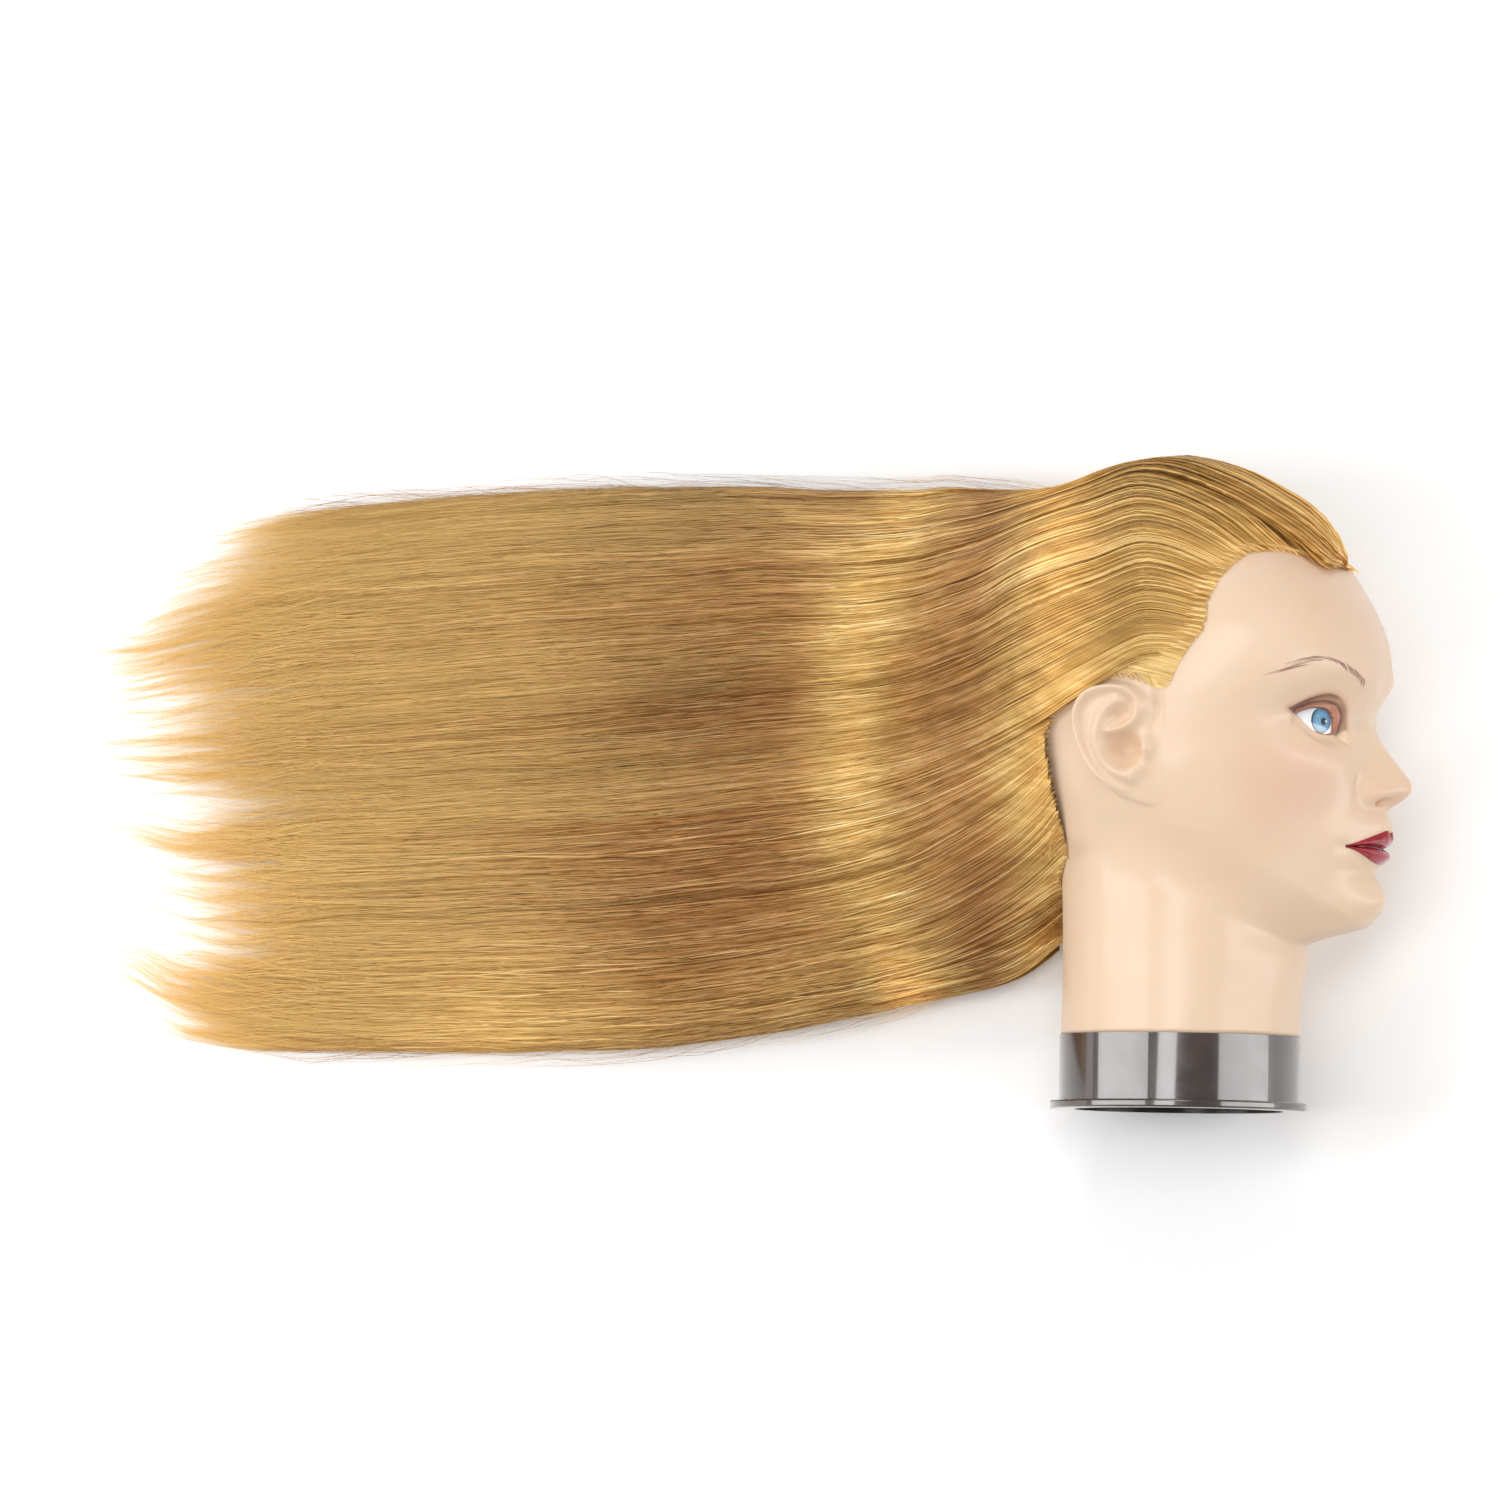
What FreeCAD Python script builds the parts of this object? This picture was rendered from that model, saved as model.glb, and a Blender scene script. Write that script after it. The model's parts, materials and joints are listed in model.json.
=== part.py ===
import FreeCAD, Part
import math
import os
from FreeCAD import Matrix, Vector

os.makedirs("parts", exist_ok=True)

# Mannequin training head, millimetres. The head is drawn upright in its own frame first:
# X towards the face, Y up the neck to the crown, Z to its right ear, origin in the middle of
# the base's underside. It is then laid on its left side, as it rests on a table: the rim of
# the base and the hair under the skull touch the table, and the hair is spread towards -X.

# ---- driving dimensions -------------------------------------------------------------------
NECK_RADIUS = 56.5
COLLAR_RADIUS = 57.0
COLLAR_TOP = 35.0
COLLAR_WALL = 3.0
FLANGE_RADIUS = 61.0
FLANGE_THICKNESS = 3.8
FLANGE_ROUNDING = 0.9
SPIGOT_RISE = 9.0     # the spigot stands this far above the collar, inside the neck
SPIGOT_PLAY = 1.2     # gap between the spigot and the skin's wall
SKIN_WALL = 3.0
GLUE_WALL = 1.5
PART_GAP = 0.4        # air left between neighbouring pieces
CROWN_HEIGHT = 296.0
SPIGOT_RADIUS = NECK_RADIUS - SKIN_WALL - SPIGOT_PLAY
BORE_RADIUS = 12.7
BORE_LENGTH = 60.0
BORE_RECESS = 2.0
HUB_WALL = 4.0
WEB_RISE = 3.0        # the web's underside stands this far above the collar
WEB_THICKNESS = 3.0
RIB_COUNT = 6
RIB_THICKNESS = 2.4
RIB_HEIGHT = 32.0
RIB_RECESS = 5.0      # the ribs start this far above the hub's mouth
SOCKET_PLAY = 0.2     # gap between the web and the collar's bore
FACE_ROLL = 17.0      # degrees that the face is turned up from the table's plane
NECK_TILT = 7.0       # degrees that the crown is lifted from the table's plane
TUFT_SPACING = 3.6
TUFT_LENGTH = 5.0
TUFT_RADIUS = 1.0
TUFT_SEAT = 1.9       # the tufts' roots stand this far off the skin

# ---- the head's outline: (height, reach) pairs --------------------------------------------
FACE_FRONT = [(20, 56.5), (52, 57), (68, 59), (79, 60), (84, 72), (90, 90), (99, 98), (108, 98.5),
              (114, 97.5), (120, 100), (127, 100.5), (134, 97.5), (150, 96), (170, 95.5),
              (187, 96), (198, 98.5), (210, 98.5), (228, 94.5), (242, 88), (254, 80),
              (266, 69), (277, 54), (286, 38), (292, 22), (296, 9)]
HEAD_BACK = [(20, 56.5), (66, 56.5), (112, 57), (132, 60), (150, 67), (168, 79), (186, 90),
             (205, 97), (224, 99), (242, 96), (258, 88), (271, 77), (281, 63), (289, 46),
             (293, 30), (296, 12)]
HALF_WIDTH = [(20, 56.5), (90, 56), (104, 57.5), (120, 61), (140, 66), (160, 70), (180, 72.5),
              (200, 74.5), (222, 75), (240, 73), (255, 68), (268, 59), (280, 46), (288, 33),
              (293, 21), (296, 9)]
# How much narrower the front of a level is than an ellipse: 1 is an ellipse.
FRONT_TAPER = [(20, 1.0), (78, 1.0), (90, 1.5), (105, 1.45), (125, 1.25), (150, 1.1), (175, 1.0),
               (200, 0.85), (235, 0.88), (296, 1.0)]
NOSE_RISE = [(20, 0), (131, 0), (138, 6), (145, 14), (151, 15.5), (160, 11), (175, 5.5),
             (188, 2.5), (198, 0), (296, 0)]
NOSE_HALF_WIDTH = 9.0
LEVELS = [40, 60, 76, 82, 87, 93, 100, 108, 115, 121, 128, 135, 141, 147, 153, 162, 174, 186, 198,
          212, 228, 244, 257, 268, 278, 286, 292, 296]
LEVEL_POLES = 28
POLE_GATHER = 0.28    # how strongly a level's points gather at the front, where the nose is
DOME_START = 278.0    # the crown's dome is above this height
FAR = 400.0           # beyond every piece

# ---- ears ---------------------------------------------------------------------------------
EAR_CENTRE = (-13.0, 168.0, 72.0)
EAR_RADII = (17.5, 28.0, 8.0)
EAR_FLARE = 16.0      # degrees that the rim stands away from the skull
EAR_LEAN = 8.0        # degrees that the ear leans back
EAR_HOLLOW = (0.5, 0.42, 0.7)     # the hollow's size as shares of the ear's
EAR_HOLLOW_PLACE = (3.0, -2.0)    # its middle, forward and up from the ear's

# ---- the hairline seen from the side, front to nape: (x, height) ---------------------------
HAIRLINE = [(85, 253), (58, 262), (44, 260), (35, 249), (29.5, 237), (28.5, 223), (21, 214),
            (15.5, 205), (11, 194), (3, 197), (-10, 201), (-27, 197), (-42, 186), (-49, 172),
            (-50, 150), (-52, 132), (-56, 117)]
TUFT_BAND = 6.0       # the hair mass starts this far behind the first row of tufts

# ---- the hair's outer shape on the table, from the forehead to the tips ---------------------
# (x, lowest y, highest y, bottom z, top z, where the top is highest, fall of the lower flank)
HAIR_STATIONS = [
    (80, 240, 257, 106, 124, 0.5, 1.0),
    (73, 198, 266, 74, 144, 0.5, 1.0),
    (60, 140, 284, 34, 160, 0.5, 1.0),
    (38, 124, 299, 12, 168, 0.5, 1.0),
    (8, 118, 308, 2, 172, 0.5, 1.0),
    (-22, 112, 309, 0, 169, 0.5, 1.0),
    (-50, 88, 309, 0, 158, 0.6, 1.5),
    (-76, 70, 307, 0, 138, 0.6, 1.5),
    (-104, 62, 305, 0, 110, 0.6, 1.4),
    (-132, 56, 303, 0, 90, 0.6, 1.3),
    (-162, 51, 302, 0, 81, 0.6, 1.2),
    (-205, 44, 302, 0, 72, 0.6, 1.1),
    (-255, 37, 303, 0, 52, 0.6, 1.0),
    (-310, 31, 302, 0, 38, 0.6, 1.0),
    (-370, 27, 298, 0, 27, 0.6, 1.0),
    (-430, 28, 291, 0, 18, 0.6, 1.0),
    (-472, 36, 282, 0, 11, 0.6, 1.0),
    (-500, 52, 268, 0, 7, 0.6, 1.0),
]
TOP_POLES = 11
BOTTOM_POLES = 9
# Partings: (name below the cut, y at the head, y at the tips). The hair fans out a little.
PARTINGS = [("neck", 122, 78), ("nape", 160, 115), ("ear", 200, 162), ("side", 240, 210),
            ("crown", 278, 255), ("top", 400, 400)]
PARTING_HEAD_X = -60.0
PARTING_TIP_X = -440.0
LEFT_RIGHT_HEIGHT = 60.0   # height of the left-right parting at the back of the skull
LEFT_RIGHT_SLOPE = 0.155    # it sinks towards the tips, so the left half ends sooner


def reach(outline, height):
    """Value of a (height, value) outline at a height, straight between its points."""
    if height <= outline[0][0]:
        return outline[0][1]
    for (low, a), (high, b) in zip(outline, outline[1:]):
        if height <= high:
            return a + (b - a) * (height - low) / (high - low)
    return outline[-1][1]


def level_point(height, angle, inset):
    """A point of the head's surface: angle 0 is the face, 90 degrees the right ear."""
    cosine = math.cos(angle)
    sine = math.sin(angle)
    half_width = reach(HALF_WIDTH, height) - inset
    z = half_width * math.copysign(abs(sine), sine)
    if cosine < 0:
        x = (reach(HEAD_BACK, height) - inset) * cosine
        return Vector(x, height, z)
    z = half_width * math.copysign(abs(sine) ** reach(FRONT_TAPER, height), sine)
    x = (reach(FACE_FRONT, height) - inset) * cosine
    x += reach(NOSE_RISE, height) * math.exp(-(z / NOSE_HALF_WIDTH) ** 2)
    return Vector(x, height, z)


def closed_solid(rows):
    """Solid inside a smooth tube whose control points are rows of closed rings."""
    around = len(rows[0])
    along = len(rows)
    surface = Part.BSplineSurface()
    along_mults = [4] + [1] * (along - 4) + [4]
    surface.buildFromPolesMultsKnots(rows, along_mults, [1] * (around + 1),
                                     list(range(len(along_mults))), list(range(around + 1)),
                                     False, True, 3, 3)
    side = surface.toShape()
    rings = [edge for edge in side.Edges if edge.isClosed() and not edge.isSeam(side.Faces[0])]
    caps = [Part.Face(Part.Wire([ring])) for ring in rings]
    shell = Part.makeShell([side] + caps)
    shell.sewShape()
    solid = Part.Solid(Part.Shell(shell.Faces))
    if solid.Volume < 0:
        solid.reverse()
    return solid


def head_solid(inset, lowest):
    """The head's outer form, shrunk all round by inset, from a lowest height up to the crown."""
    swell = 3.0 / (2.0 + math.cos(2.0 * math.pi / LEVEL_POLES))
    heights = [lowest] + [level for level in LEVELS if level > lowest + 5]
    rows = []
    for height in heights:
        ring = []
        for step in range(LEVEL_POLES):
            angle = 2.0 * math.pi * step / LEVEL_POLES
            angle -= POLE_GATHER * math.sin(angle)
            point = level_point(height, angle, inset / swell)
            ring.append(Vector(point.x * swell, height, point.z * swell))
        rows.append(ring)
    for ring in rows[-4:]:
        for index, point in enumerate(ring):
            share = max(0.0, (point.y - DOME_START) / (CROWN_HEIGHT - DOME_START))
            ring[index] = Vector(point.x, point.y - inset * share, point.z)
    return closed_solid(rows)


def cylinder(radius, low, high):
    """A cylinder on the neck's axis, between two heights."""
    return Part.makeCylinder(radius, high - low, Vector(0, low, 0), Vector(0, 1, 0))


def ear(side):
    """One moulded ear: a leaning oval plate with a hollow; side is 1 on the right, -1 left."""
    plate = Part.makeSphere(1.0)
    scale = Matrix()
    scale.scale(*EAR_RADII)
    plate = plate.transformGeometry(scale)
    hollow = Part.makeSphere(1.0)
    dish = Matrix()
    dish.scale(*[radius * share for radius, share in zip(EAR_RADII, EAR_HOLLOW)])
    hollow = hollow.transformGeometry(dish)
    hollow.translate(Vector(*EAR_HOLLOW_PLACE, EAR_RADII[2] * 0.9))
    return place_ear(plate.cut(hollow), side)


def ear_room(side):
    """The space of an ear, a little larger than the ear all round."""
    block = Part.makeSphere(1.0)
    scale = Matrix()
    scale.scale(*[radius + 2 * PART_GAP for radius in EAR_RADII])
    return place_ear(block.transformGeometry(scale), side)


def place_ear(shape, side):
    """Lean an ear's shape back and out, and set it on one side of the head."""
    shape.rotate(Vector(0, 0, 0), Vector(0, 1, 0), -EAR_FLARE)
    shape.rotate(Vector(0, 0, 0), Vector(0, 0, 1), EAR_LEAN)
    shape.translate(Vector(*EAR_CENTRE))
    if side < 0:
        return shape.mirror(Vector(0, 0, 0), Vector(0, 0, 1))
    return shape


def hairline_prism(set_back):
    """Everything above and behind the hairline, as one prism through both sides of the head."""
    line = [(x - set_back * 0.7, height + set_back * 0.7) for x, height in HAIRLINE]
    first = line[0]
    last = line[-1]
    outline = [(160, first[1] + 2)] + line + [(last[0], -80), (-700, -80), (-700, 420), (160, 420)]
    points = [Vector(x, height, -260) for x, height in outline]
    wire = Part.makePolygon(points + [points[0]])
    return Part.Face(wire).extrude(Vector(0, 0, 520))


def head_skin(outer):
    """The hollow vinyl moulding with its ears, open at the neck."""
    shell = outer.fuse(ear(1)).fuse(ear(-1))
    shell = shell.cut(head_solid(SKIN_WALL, COLLAR_TOP - 12))
    return shell.common(cylinder(FAR, COLLAR_TOP, FAR))


def root_backing():
    """The thin adhesive layer inside the scalp that locks the knots of the hair."""
    layer = head_solid(SKIN_WALL + PART_GAP, 100)
    layer = layer.cut(head_solid(SKIN_WALL + PART_GAP + GLUE_WALL, 90))
    return largest(layer.common(hairline_prism(0)))


def foam_core():
    """Foam that fills the skin above the spigot, cut back where the adhesive layer lies."""
    full = head_solid(SKIN_WALL + PART_GAP, COLLAR_TOP + SPIGOT_RISE + 1)
    slim = head_solid(SKIN_WALL + 2 * PART_GAP + GLUE_WALL, COLLAR_TOP + SPIGOT_RISE)
    scalp = full.cut(slim).common(hairline_prism(-2))
    core = full.cut(scalp)
    core = core.common(cylinder(FAR, COLLAR_TOP + SPIGOT_RISE + 2, FAR))
    peg_room = cylinder(BORE_RADIUS + HUB_WALL + PART_GAP, 0,
                        BORE_RECESS + BORE_LENGTH + HUB_WALL + PART_GAP)
    return largest(core.cut(peg_room))


def base_collar():
    """Glossy ring that the neck stands on, with its flange and the spigot inside the neck."""
    ring = cylinder(COLLAR_RADIUS, 0, COLLAR_TOP)
    flange = cylinder(FLANGE_RADIUS, 0, FLANGE_THICKNESS)
    rim = [edge for edge in flange.Edges if abs(edge.Length - 2 * math.pi * FLANGE_RADIUS) < 1]
    flange = flange.makeFillet(FLANGE_ROUNDING, rim)
    spigot = cylinder(SPIGOT_RADIUS, 0, COLLAR_TOP + SPIGOT_RISE)
    body = ring.fuse(flange).fuse(spigot).removeSplitter()
    return body.cut(cylinder(SPIGOT_RADIUS - COLLAR_WALL, -1, FAR))


def clamp_socket():
    """Insert with the blind bore for a clamp's peg, held in the collar by a web and ribs."""
    outside = SPIGOT_RADIUS - COLLAR_WALL - SOCKET_PLAY
    hub = cylinder(BORE_RADIUS + HUB_WALL, BORE_RECESS, BORE_RECESS + BORE_LENGTH + HUB_WALL)
    web = cylinder(outside, COLLAR_TOP + WEB_RISE, COLLAR_TOP + WEB_RISE + WEB_THICKNESS)
    body = hub.fuse(web)
    for index in range(RIB_COUNT):
        rib = Part.makeBox(outside - BORE_RADIUS - 1, RIB_HEIGHT, RIB_THICKNESS,
                           Vector(BORE_RADIUS + 1, BORE_RECESS + RIB_RECESS, -RIB_THICKNESS / 2))
        rib.rotate(Vector(0, 0, 0), Vector(0, 1, 0), 360.0 * index / RIB_COUNT)
        body = body.fuse(rib)
    body = body.common(cylinder(outside, 0, FAR)).removeSplitter()
    return body.cut(cylinder(BORE_RADIUS, -1, BORE_RECESS + BORE_LENGTH))


def on_surface(x, height, side, lift):
    """The point of the scalp at a place in side view, lifted off it by lift."""
    low = 0.0
    high = math.pi
    for _ in range(40):
        middle = (low + high) / 2
        if level_point(height, middle, -lift).x > x:
            low = middle
        else:
            high = middle
    point = level_point(height, low, -lift)
    return Vector(point.x, point.y, point.z * side)


def tuft(root, tip):
    """One punched bundle of hair: a short tapered peg from its root towards its tip."""
    direction = tip.sub(root)
    direction.normalize()
    return Part.makeCone(TUFT_RADIUS, TUFT_RADIUS * 0.7, TUFT_LENGTH, root, direction)


def hairline_tufts(first, last, side):
    """Tufts at even spacing along the hairline between two of its points, on one side."""
    tufts = []
    carried = 0.0
    for start, end in zip(HAIRLINE[first:last], HAIRLINE[first + 1:last + 1]):
        length = math.hypot(end[0] - start[0], end[1] - start[1])
        while carried < length:
            share = carried / length
            x = start[0] + (end[0] - start[0]) * share
            height = start[1] + (end[1] - start[1]) * share
            root = on_surface(x, height, side, TUFT_SEAT)
            tip = on_surface(x - 6, height + 1.5, side, TUFT_SEAT + 0.4)
            tufts.append(tuft(root, tip))
            carried += TUFT_SPACING
        carried -= length
    return Part.makeCompound(tufts)


def front_tufts():
    """The row over the forehead, from the left temple's corner to the right one."""
    tufts = []
    front = HAIRLINE[0]
    corner = HAIRLINE[1]
    reach_z = abs(on_surface(corner[0], corner[1], 1, TUFT_SEAT).z) - TUFT_SPACING
    count = int(2 * reach_z / TUFT_SPACING)
    for index in range(count + 1):
        z = -reach_z + 2 * reach_z * index / count
        share = abs(z) / reach_z
        height = front[1] + (corner[1] - front[1]) * share ** 1.5
        x = surface_x(height, z)
        root = Vector(x + 1.4, height + 1.4, z)
        tip = Vector(surface_x(height + 5, z) + 1.6, height + 6.6, z)
        tufts.append(tuft(root, tip))
    return Part.makeCompound(tufts)


def surface_x(height, z):
    """Front of the head at a height and a distance from its middle plane."""
    low = 0.0
    high = math.pi / 2
    for _ in range(40):
        middle = (low + high) / 2
        if level_point(height, middle, 0).z < abs(z):
            low = middle
        else:
            high = middle
    return level_point(height, low, 0).x


def lay_down(shape):
    """Turn the face up, lift the crown, and set the base's rim on the table."""
    laid = shape.copy()
    laid.rotate(Vector(0, 0, 0), Vector(0, 1, 0), -FACE_ROLL)
    laid.rotate(Vector(0, 0, 0), Vector(1, 0, 0), NECK_TILT)
    laid.translate(Vector(0, 0, FLANGE_RADIUS * math.cos(math.radians(NECK_TILT))))
    return laid


def hair_ring(x, y_low, y_high, z_low, z_high, peak, fall):
    """Closed ring of control points across the hair: a domed top over a flatter bottom."""
    ring = []
    waist = z_low + (z_high - z_low) * (0.42 if z_low > 1 else 0.16)
    peak_y = y_low + (y_high - y_low) * peak
    for index in range(TOP_POLES):
        turn = math.pi * index / (TOP_POLES - 1)
        if turn <= math.pi / 2:
            y = peak_y + (y_high - peak_y) * math.cos(turn)
            z = waist + (z_high - waist) * math.sin(turn)
        else:
            y = peak_y - (peak_y - y_low) * abs(math.cos(turn))
            z = waist + (z_high - waist) * math.sin(turn) ** fall
        ring.append(Vector(x, y, z))
    for index in range(1, BOTTOM_POLES + 1):
        turn = math.pi * index / (BOTTOM_POLES + 1)
        middle_y = (y_low + y_high) / 2
        y = middle_y - (y_high - y_low) / 2 * math.cos(turn) * 0.97
        z = waist - (waist - z_low) * math.sin(turn) ** 0.5
        if z_low <= 1 and 2 <= index <= BOTTOM_POLES - 1:
            z = z_low
        ring.append(Vector(x, y, z))
    return ring


def hair_mass():
    """All of the combed hair in one piece: outer shape, less the face's window and the skull."""
    mass = closed_solid([hair_ring(*station) for station in HAIR_STATIONS])
    mass = mass.common(lay_down(hairline_prism(TUFT_BAND)))
    clear = head_solid(-PART_GAP, COLLAR_TOP - 20)
    mass = mass.cut(lay_down(clear))
    for side in (1, -1):
        mass = mass.cut(lay_down(ear_room(side)))
    return mass


def parting_prism(index):
    """The strip of the table between one parting line and the one above it."""
    def line(cut):
        slope = (PARTINGS[cut][1] - PARTINGS[cut][2]) / (PARTING_HEAD_X - PARTING_TIP_X)
        head_y = PARTINGS[cut][1] + slope * (200 - PARTING_HEAD_X)
        tip_y = PARTINGS[cut][2] - slope * 200
        return (200, head_y), (PARTING_TIP_X - 200, tip_y)
    upper = line(index)
    lower = line(index - 1) if index else ((200, -200), (PARTING_TIP_X - 200, -200))
    corners = [upper[0], upper[1], lower[1], lower[0]]
    points = [Vector(x, y, -20) for x, y in corners]
    return Part.Face(Part.makePolygon(points + [points[0]])).extrude(Vector(0, 0, 260))


def right_half_space():
    """Everything on the right side of the left-right parting, which is the upper side."""
    def height(x):
        return LEFT_RIGHT_HEIGHT + LEFT_RIGHT_SLOPE * (x + 98.0)
    corners = [(200, height(200)), (-800, height(-800)), (-800, 400), (200, 400)]
    points = [Vector(x, -300, z) for x, z in corners]
    return Part.Face(Part.makePolygon(points + [points[0]])).extrude(Vector(0, 900, 0))


def largest(shape):
    """The biggest solid of a shape, without slivers that a cut left behind."""
    return max(shape.Solids, key=lambda solid: solid.Volume)


def hair_sections(mass):
    """The stylist's sections: strips split into a right and a left half where both exist."""
    upper = right_half_space()
    sections = {}
    for index, parting in enumerate(PARTINGS):
        strip = mass.common(parting_prism(index))
        halves = {"right": strip.common(upper), "left": strip.cut(upper)}
        for side, half in halves.items():
            if half.Solids:
                sections["hair_" + parting[0] + "_" + side] = largest(half)
    return sections


outer_form = head_solid(0, COLLAR_TOP - 12)
nodes = {
    "head_skin": lay_down(head_skin(outer_form)),
    "foam_core": lay_down(foam_core()),
    "root_backing": lay_down(root_backing()),
    "base_collar": lay_down(base_collar()),
    "clamp_socket": lay_down(clamp_socket()),
    "hairline_tufts_front": lay_down(front_tufts()),
    "hairline_tufts_right": lay_down(hairline_tufts(1, 11, 1)),
    "hairline_tufts_left": lay_down(hairline_tufts(1, 11, -1)),
}
nodes.update(hair_sections(hair_mass()))

# The origin goes to the middle of the whole part's underside.
whole = Part.makeCompound(list(nodes.values())).optimalBoundingBox(False, False)
shift = Vector(-(whole.XMin + whole.XMax) / 2, -(whole.YMin + whole.YMax) / 2, -whole.ZMin)
for name, shape in nodes.items():
    shape.translate(shift)
    shape.exportStep("parts/" + name + ".step")
    print(name, "solids", len(shape.Solids), "valid", shape.isValid(), "cm3", round(shape.Volume / 1e3, 2))
print("shift", [round(value, 3) for value in shift])
print("size", round(whole.XLength, 1), round(whole.YLength, 1), round(whole.ZLength, 1))
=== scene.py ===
import json
import math
import bpy
import numpy as np
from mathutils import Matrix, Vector
from mathutils.bvhtree import BVHTree


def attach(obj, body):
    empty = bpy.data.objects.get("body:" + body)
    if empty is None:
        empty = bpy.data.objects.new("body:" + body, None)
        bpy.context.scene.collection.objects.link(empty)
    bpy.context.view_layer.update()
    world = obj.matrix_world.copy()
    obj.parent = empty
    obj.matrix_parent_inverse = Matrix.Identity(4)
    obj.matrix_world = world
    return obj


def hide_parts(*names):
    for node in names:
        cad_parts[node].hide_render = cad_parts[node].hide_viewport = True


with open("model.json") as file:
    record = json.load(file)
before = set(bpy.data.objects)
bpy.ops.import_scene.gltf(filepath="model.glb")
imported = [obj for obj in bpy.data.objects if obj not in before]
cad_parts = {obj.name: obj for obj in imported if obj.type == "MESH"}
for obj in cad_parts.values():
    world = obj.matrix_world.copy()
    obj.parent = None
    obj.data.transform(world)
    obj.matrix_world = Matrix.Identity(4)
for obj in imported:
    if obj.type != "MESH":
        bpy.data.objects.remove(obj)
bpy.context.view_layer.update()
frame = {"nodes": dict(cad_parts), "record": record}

# Lengths in this script are millimetres until a mesh is made. The head is shaped in its own
# frame: x towards the face, y from the base to the crown, z to the right ear.
FACE_ROLL = math.radians(17.0)     # how far the face is turned up from the table
RANDOM = np.random.default_rng(471)
# The least height over the table: of the skin, the root hair, the tufts, the loose hairs, the strands.
SKIN_CLEAR = 0.3
ROOT_CLEAR = 0.4
TUFT_CLEAR = 0.5
STRAY_CLEAR = 0.6
STRAND_CLEAR = 0.7
HALVES = ((1, "right"), (-1, "left"))


# ---- the head's place, read from the frame ---------------------------------------------------
def mount(name):
    """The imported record's mount of that name."""
    return next(m for m in frame["record"]["mounts"] if m["name"] == name)


UP_NECK = -np.array(mount("clamp_bore")["axis"])
BORE_RECESS = 2.0
BASE_CENTRE = np.array(mount("clamp_bore")["pos_m"]) * 1000 - UP_NECK * BORE_RECESS
TILT = math.asin(UP_NECK[2])
FORWARD = np.array([math.cos(FACE_ROLL), -math.sin(FACE_ROLL) * math.sin(TILT),
                    math.sin(FACE_ROLL) * math.cos(TILT)])
RIGHT = np.cross(FORWARD, UP_NECK)
TURN = np.array([FORWARD, UP_NECK, RIGHT])


def to_world(points):
    """Head-frame millimetres to world millimetres."""
    return points @ TURN + BASE_CENTRE


def to_head(points):
    """World millimetres to head-frame millimetres."""
    return (points - BASE_CENTRE) @ TURN.T


def smooth(t):
    """Ease from 0 to 1 as t goes from 0 to 1."""
    t = np.clip(t, 0.0, 1.0)
    return t * t * (3 - 2 * t)


def unit(vectors):
    """Vectors at length 1."""
    return vectors / np.maximum(np.linalg.norm(vectors, axis=-1, keepdims=True), 1e-9)


def mound(x, y, at_x, at_y, wide_x, wide_y):
    """A round mound over a place, 1 at its middle."""
    return np.exp(-((x - at_x) / wide_x) ** 2 - ((y - at_y) / wide_y) ** 2)


def steps_along(line):
    """How far along a line each of its points is."""
    return np.concatenate([[0], np.cumsum(np.hypot(*np.diff(line, axis=0).T))])


def curve(outline, at):
    """Smooth value of a list of (position, value) pairs at any positions."""
    xs, ys = np.array(outline, float).T
    steps = np.diff(xs)
    slopes = np.diff(ys) / steps
    tangents = np.empty_like(ys)
    tangents[0] = slopes[0]
    tangents[-1] = slopes[-1]
    product = slopes[:-1] * slopes[1:]
    total = slopes[:-1] + slopes[1:]
    total = np.where(product > 0, total, 1.0)
    tangents[1:-1] = np.where(product > 0, 2 * product / total, 0.0)
    at = np.asarray(at, float)
    index = np.clip(np.searchsorted(xs, at) - 1, 0, len(steps) - 1)
    step = steps[index]
    t = np.clip((at - xs[index]) / step, 0.0, 1.0)
    near = (2 * t ** 3 - 3 * t ** 2 + 1) * ys[index]
    leave = (t ** 3 - 2 * t ** 2 + t) * step * tangents[index]
    far = (3 * t ** 2 - 2 * t ** 3) * ys[index + 1]
    arrive = (t ** 3 - t ** 2) * step * tangents[index + 1]
    return near + leave + far + arrive


# ---- the head's form -------------------------------------------------------------------------
NECK_FRONT = [(34, 56.5), (45, 56.8), (60, 58.2), (72, 59.4), (82, 58.5), (100, 57.5), (130, 57)]
NECK_SIDE = [(34, 56.3), (70, 55.2), (100, 55.2), (125, 58), (150, 62)]
FACE_FRONT = [(70, 84), (84, 87), (96, 88), (113, 88.5), (125, 90), (140, 91.5), (152, 92.5),
              (167, 93.2), (182, 94.5), (196, 97), (207, 98.4), (216, 98.2), (228, 95.8), (240, 91),
              (254, 83), (266, 72.5), (277, 58), (286, 41), (292, 25), (296, 0)]
HEAD_BACK = [(34, 56.3), (66, 55.8), (100, 56.5), (118, 57.5), (132, 60.5), (150, 68), (168, 79),
             (186, 90), (205, 97), (224, 99), (242, 96), (258, 88.5), (271, 77.5), (281, 63.5),
             (289, 46), (293, 31), (296, 0)]
FACE_SIDE = [(70, 42), (85, 46), (98, 51), (110, 55.5), (120, 58.5), (130, 62), (140, 65), (150, 67.5),
             (160, 69.5), (172, 71), (185, 72.8), (200, 74.5), (222, 75), (240, 73), (255, 67.5),
             (268, 58), (280, 44.5), (288, 31.5), (293, 20), (296, 0)]
FRONT_SQUARE = [(70, 2.0), (150, 2.05), (190, 2.2), (215, 2.35), (250, 2.2), (275, 2.0)]
JAW_HEIGHT = [(0, 82.5), (14, 83), (25, 87), (38, 93), (52, 100), (66, 107), (80, 114), (95, 121),
              (120, 128)]
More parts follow.
